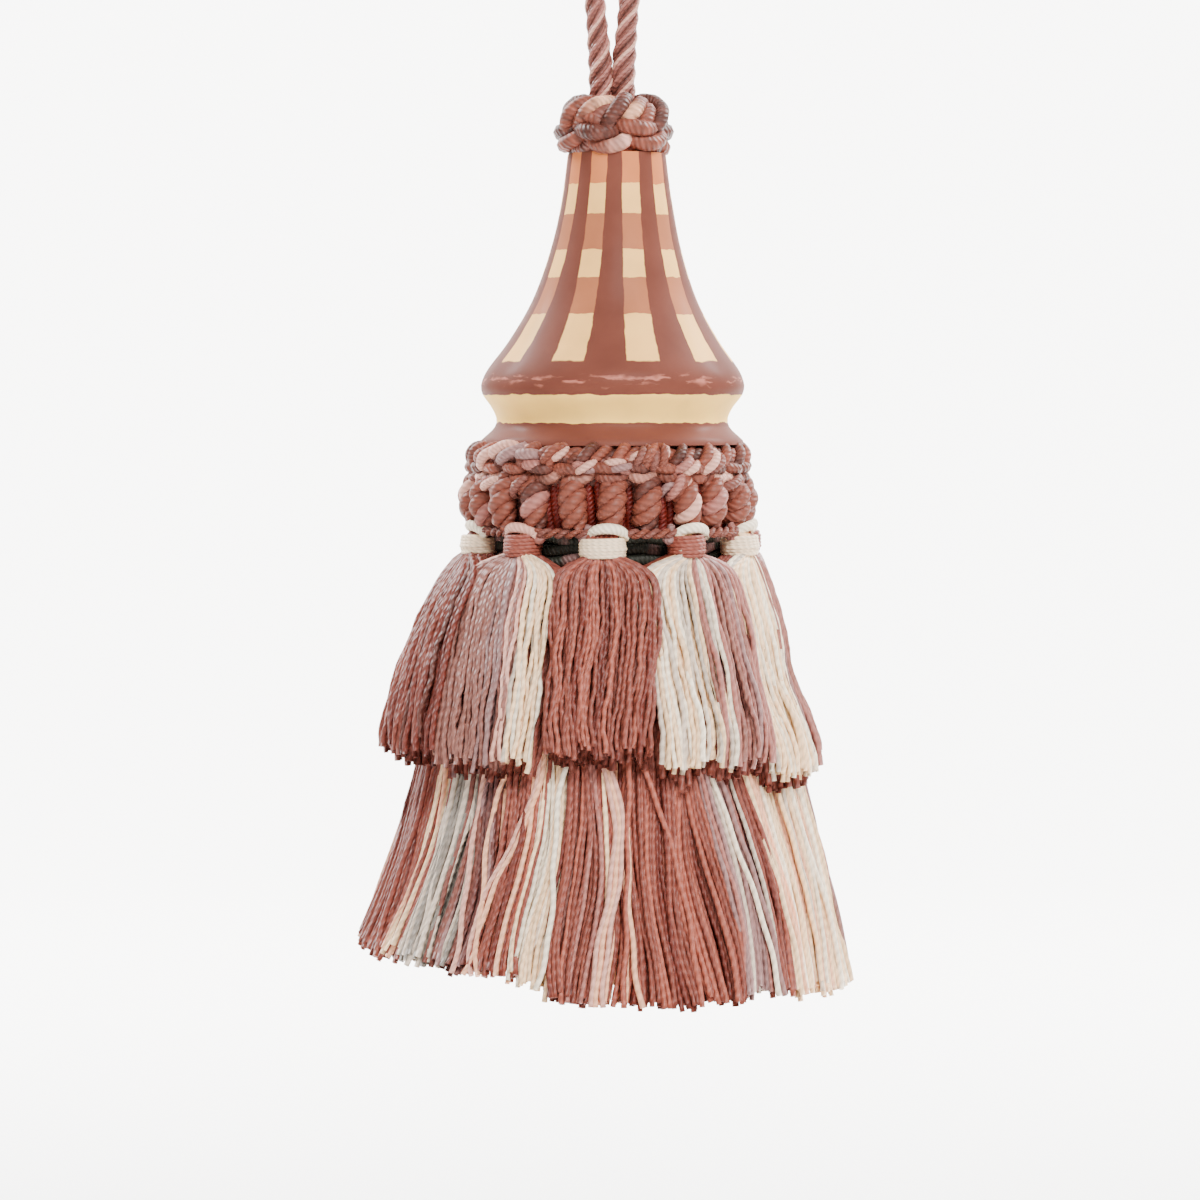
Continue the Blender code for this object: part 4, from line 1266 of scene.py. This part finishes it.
# %% Lay a few loose strands over the skirt
Stray = namedtuple("Stray", "angles dye")
STRAY_SHARES = (0.45, 0.6, 0.78, 1.0)
STRAYS = (  # each one's angle where it leaves the upper tier, twice on its way down, and at the hem
    Stray((-24, -33.5, -33, -34), "peach"),
    Stray((-20, -22, -29, -30.5), "peach"),
    Stray((-21, -23, -30.5, -32), "pale pink"),
    Stray((-12, -15, -14.5, -17), "bright cream"),
    Stray((-3.5, 1.5, -0.5, -3.5), "peach"),
    Stray((-2.5, 2.5, 0.6, -2), "pale pink"),
    Stray((-4.5, 0.5, -1.5, -4.5), "pale pink"),
    Stray((7, 14, 18, 20), "light rust"),
    Stray((28, 33, 38, 41), "bright cream"),
    Stray((30, 35.5, 40, 42.5), "lilac"),
    Stray((42, 46, 49, 50.5), "peach"),
    Stray((41, 44.5, 47.5, 49), "cream"),
    Stray((-47, -50, -49, -51), "grey cream"),
    Stray((-36, -39, -38, -37), "pale pink"),
    Stray((-70, -66, -67, -65), "rust"),
    Stray((64, 66, 70, 69), "bright cream"),
    Stray((5, 4.2, 3.4, 2.2), "light rust"),
    Stray((5, 4.2, 4.0, 6.4), "peach"),
)
BACK_STRAYS = 22
STRAY_STEPS = 40
stray_rng = np.random.default_rng(70)
back_angles = stray_rng.uniform(90, 270, BACK_STRAYS)
back_dyes = stray_rng.choice(["peach", "bright cream", "light rust", "lilac"], BACK_STRAYS)
all_strays = list(STRAYS)
for angle, dye in zip(back_angles, back_dyes):
    all_strays.append(Stray(tuple(angle + np.cumsum(stray_rng.normal(0, 2.2, 4))), dye))
stray_share = np.linspace(STRAY_SHARES[0], 1, STRAY_STEPS)
stray_paths = []
for stray in all_strays:
    line = np.polynomial.Polynomial.fit(STRAY_SHARES, stray.angles, 3)(stray_share)
    line = line + 0.25 * np.sin(40 * stray_share + stray.angles[0])
    hem = np.interp((line[-1] + 180) % 360 - 180, *zip(*HEM_LINE))
    drop = ROLL_FOOT - 1.5 + (hem + 0.3 - ROLL_FOOT + 1.5) * stray_share
    out = 15.2 + (lower_skirt_radius(line, LOWER_HEM) - 15.2) * stray_share**LOWER_EASE
    out = out + left_side_shape(line, stray_share) + 0.45 + 0.2 * np.sin(17 * stray_share)
    stray_paths.append(place(out, line, drop))
stray_paths = np.array(stray_paths)
stray_dyes = dyes(stray.dye for stray in all_strays)
stray_yarns = sweep_yarns(stray_paths, 0.42, straight_out(stray_paths), stray_dyes, sides=6)
add_piece("skirt_loose_strands", [stray_yarns], skirt_rayon, ["lower_skirt"])

# %% [markdown]
# The roll's woven tape fills the tassel behind the heading's ground and hardly shows. It is a plain turned
# piece with a fine ribbed weave in the material, coloured dark as painted shade in the gaps it shows through.

# %% Wind the roll of fringe heading
def roll_material():
    material, tree, shader = new_material("dark_cotton_tape_painted_shade")
    coordinates = add_node(tree, "ShaderNodeTexCoord")
    ribs = add_node(
        tree,
        "ShaderNodeTexWave",
        {"Vector": coordinates.outputs["Object"], "Scale": 320.0, "Distortion": 1.5, "Detail": 2.0},
        bands_direction="Z",
    )
    ramp = add_node(tree, "ShaderNodeValToRGB", {"Fac": ribs.outputs["Fac"]})
    # painted shade: the tape is coloured dark so that the gaps it shows through look shaded
    ramp.color_ramp.elements[0].color = (*linear("4a453c"), 1)
    ramp.color_ramp.elements[1].color = (*linear("8a8274"), 1)
    bump = add_node(tree, "ShaderNodeBump", {"Height": ribs.outputs["Fac"], "Distance": 0.2 * MM})
    tree.links.new(ramp.outputs["Color"], shader.inputs["Base Color"])
    tree.links.new(bump.outputs["Normal"], shader.inputs["Normal"])
    shader.inputs["Roughness"].default_value = 0.8
    return material


ROLL_RADIUS = 16.0
ROLL_TOP = 105.0
roll_profile = ((ROLL_TOP, ROLL_RADIUS), (ROLL_TOP + 8, ROLL_RADIUS), (ROLL_FOOT, ROLL_RADIUS))
turn_profile("fringe_roll", roll_profile, 72, roll_material(), ["lower_skirt"])

# %% [markdown]
# ## The room
#
# The photograph was taken on white with soft light from all round and a little more from in front and above.
# A pale floor that curves up into a wall gives the white without a horizon line.

# %% Floor, backdrop and lights
def studio_material():
    material, tree, shader = new_material("studio_paper")
    shader.inputs["Base Color"].default_value = (*linear("f6f5f3"), 1)
    shader.inputs["Roughness"].default_value = 0.9
    return material


FLOOR_DROP = 262.0
profile = [(-1500.0, -FLOOR_DROP), (700.0, -FLOOR_DROP)]
bend = np.linspace(0, np.pi / 2, 17)[1:]
profile += [(700 + 400 * math.sin(a), -FLOOR_DROP + 400 * (1 - math.cos(a))) for a in bend]
profile.append((1100.0, 1500.0))
backdrop_points = [(side, y, z) for y, z in profile for side in (-1800.0, 1800.0)]
backdrop_faces = [(2 * i, 2 * i + 1, 2 * i + 3, 2 * i + 2) for i in range(len(profile) - 1)]
backdrop_mesh = bpy.data.meshes.new("studio_floor")
backdrop_mesh.from_pydata((np.array(backdrop_points) * MM).tolist(), [], backdrop_faces)
backdrop_mesh.materials.append(studio_material())
backdrop_mesh.shade_smooth()
backdrop = bpy.data.objects.new("studio_floor", backdrop_mesh)
bpy.context.scene.collection.objects.link(backdrop)


def soft_light(name, place_mm, aim_mm, size, power):
    data = bpy.data.lights.new(name, "AREA")
    data.shape = "RECTANGLE"
    data.size, data.size_y = np.array(size) * MM
    data.energy = power
    light = bpy.data.objects.new(name, data)
    light.location = np.array(place_mm) * MM
    way = (np.array(aim_mm) - np.array(place_mm)).tolist()
    light.rotation_euler = Vector(way).to_track_quat("-Z", "Y").to_euler()
    bpy.context.scene.collection.objects.link(light)
    return light


TASSEL_MIDDLE = (0.0, 0.0, -115.0)
WALL_MIDDLE = (0.0, 1050.0, -150.0)
soft_light("key_softbox", (180.0, -560.0, 420.0), TASSEL_MIDDLE, (520.0, 240.0), 11.8)
soft_light("left_fill", (-650.0, -500.0, 20.0), TASSEL_MIDDLE, (400.0, 600.0), 0.7)
soft_light("right_fill", (650.0, -300.0, 50.0), TASSEL_MIDDLE, (400.0, 600.0), 1.2)
soft_light("back_fill", (0.0, 500.0, 600.0), TASSEL_MIDDLE, (500.0, 500.0), 3.0)
soft_light("left_wall_light", (-500.0, 350.0, 350.0), WALL_MIDDLE, (300.0, 300.0), 37.0)
soft_light("right_wall_light", (500.0, 350.0, 350.0), WALL_MIDDLE, (300.0, 300.0), 37.0)

world = bpy.data.worlds.new("white_room")
world.use_nodes = True
world.node_tree.nodes["Background"].inputs["Color"].default_value = (1, 1, 1, 1)
world.node_tree.nodes["Background"].inputs["Strength"].default_value = 0.27
bpy.context.scene.world = world
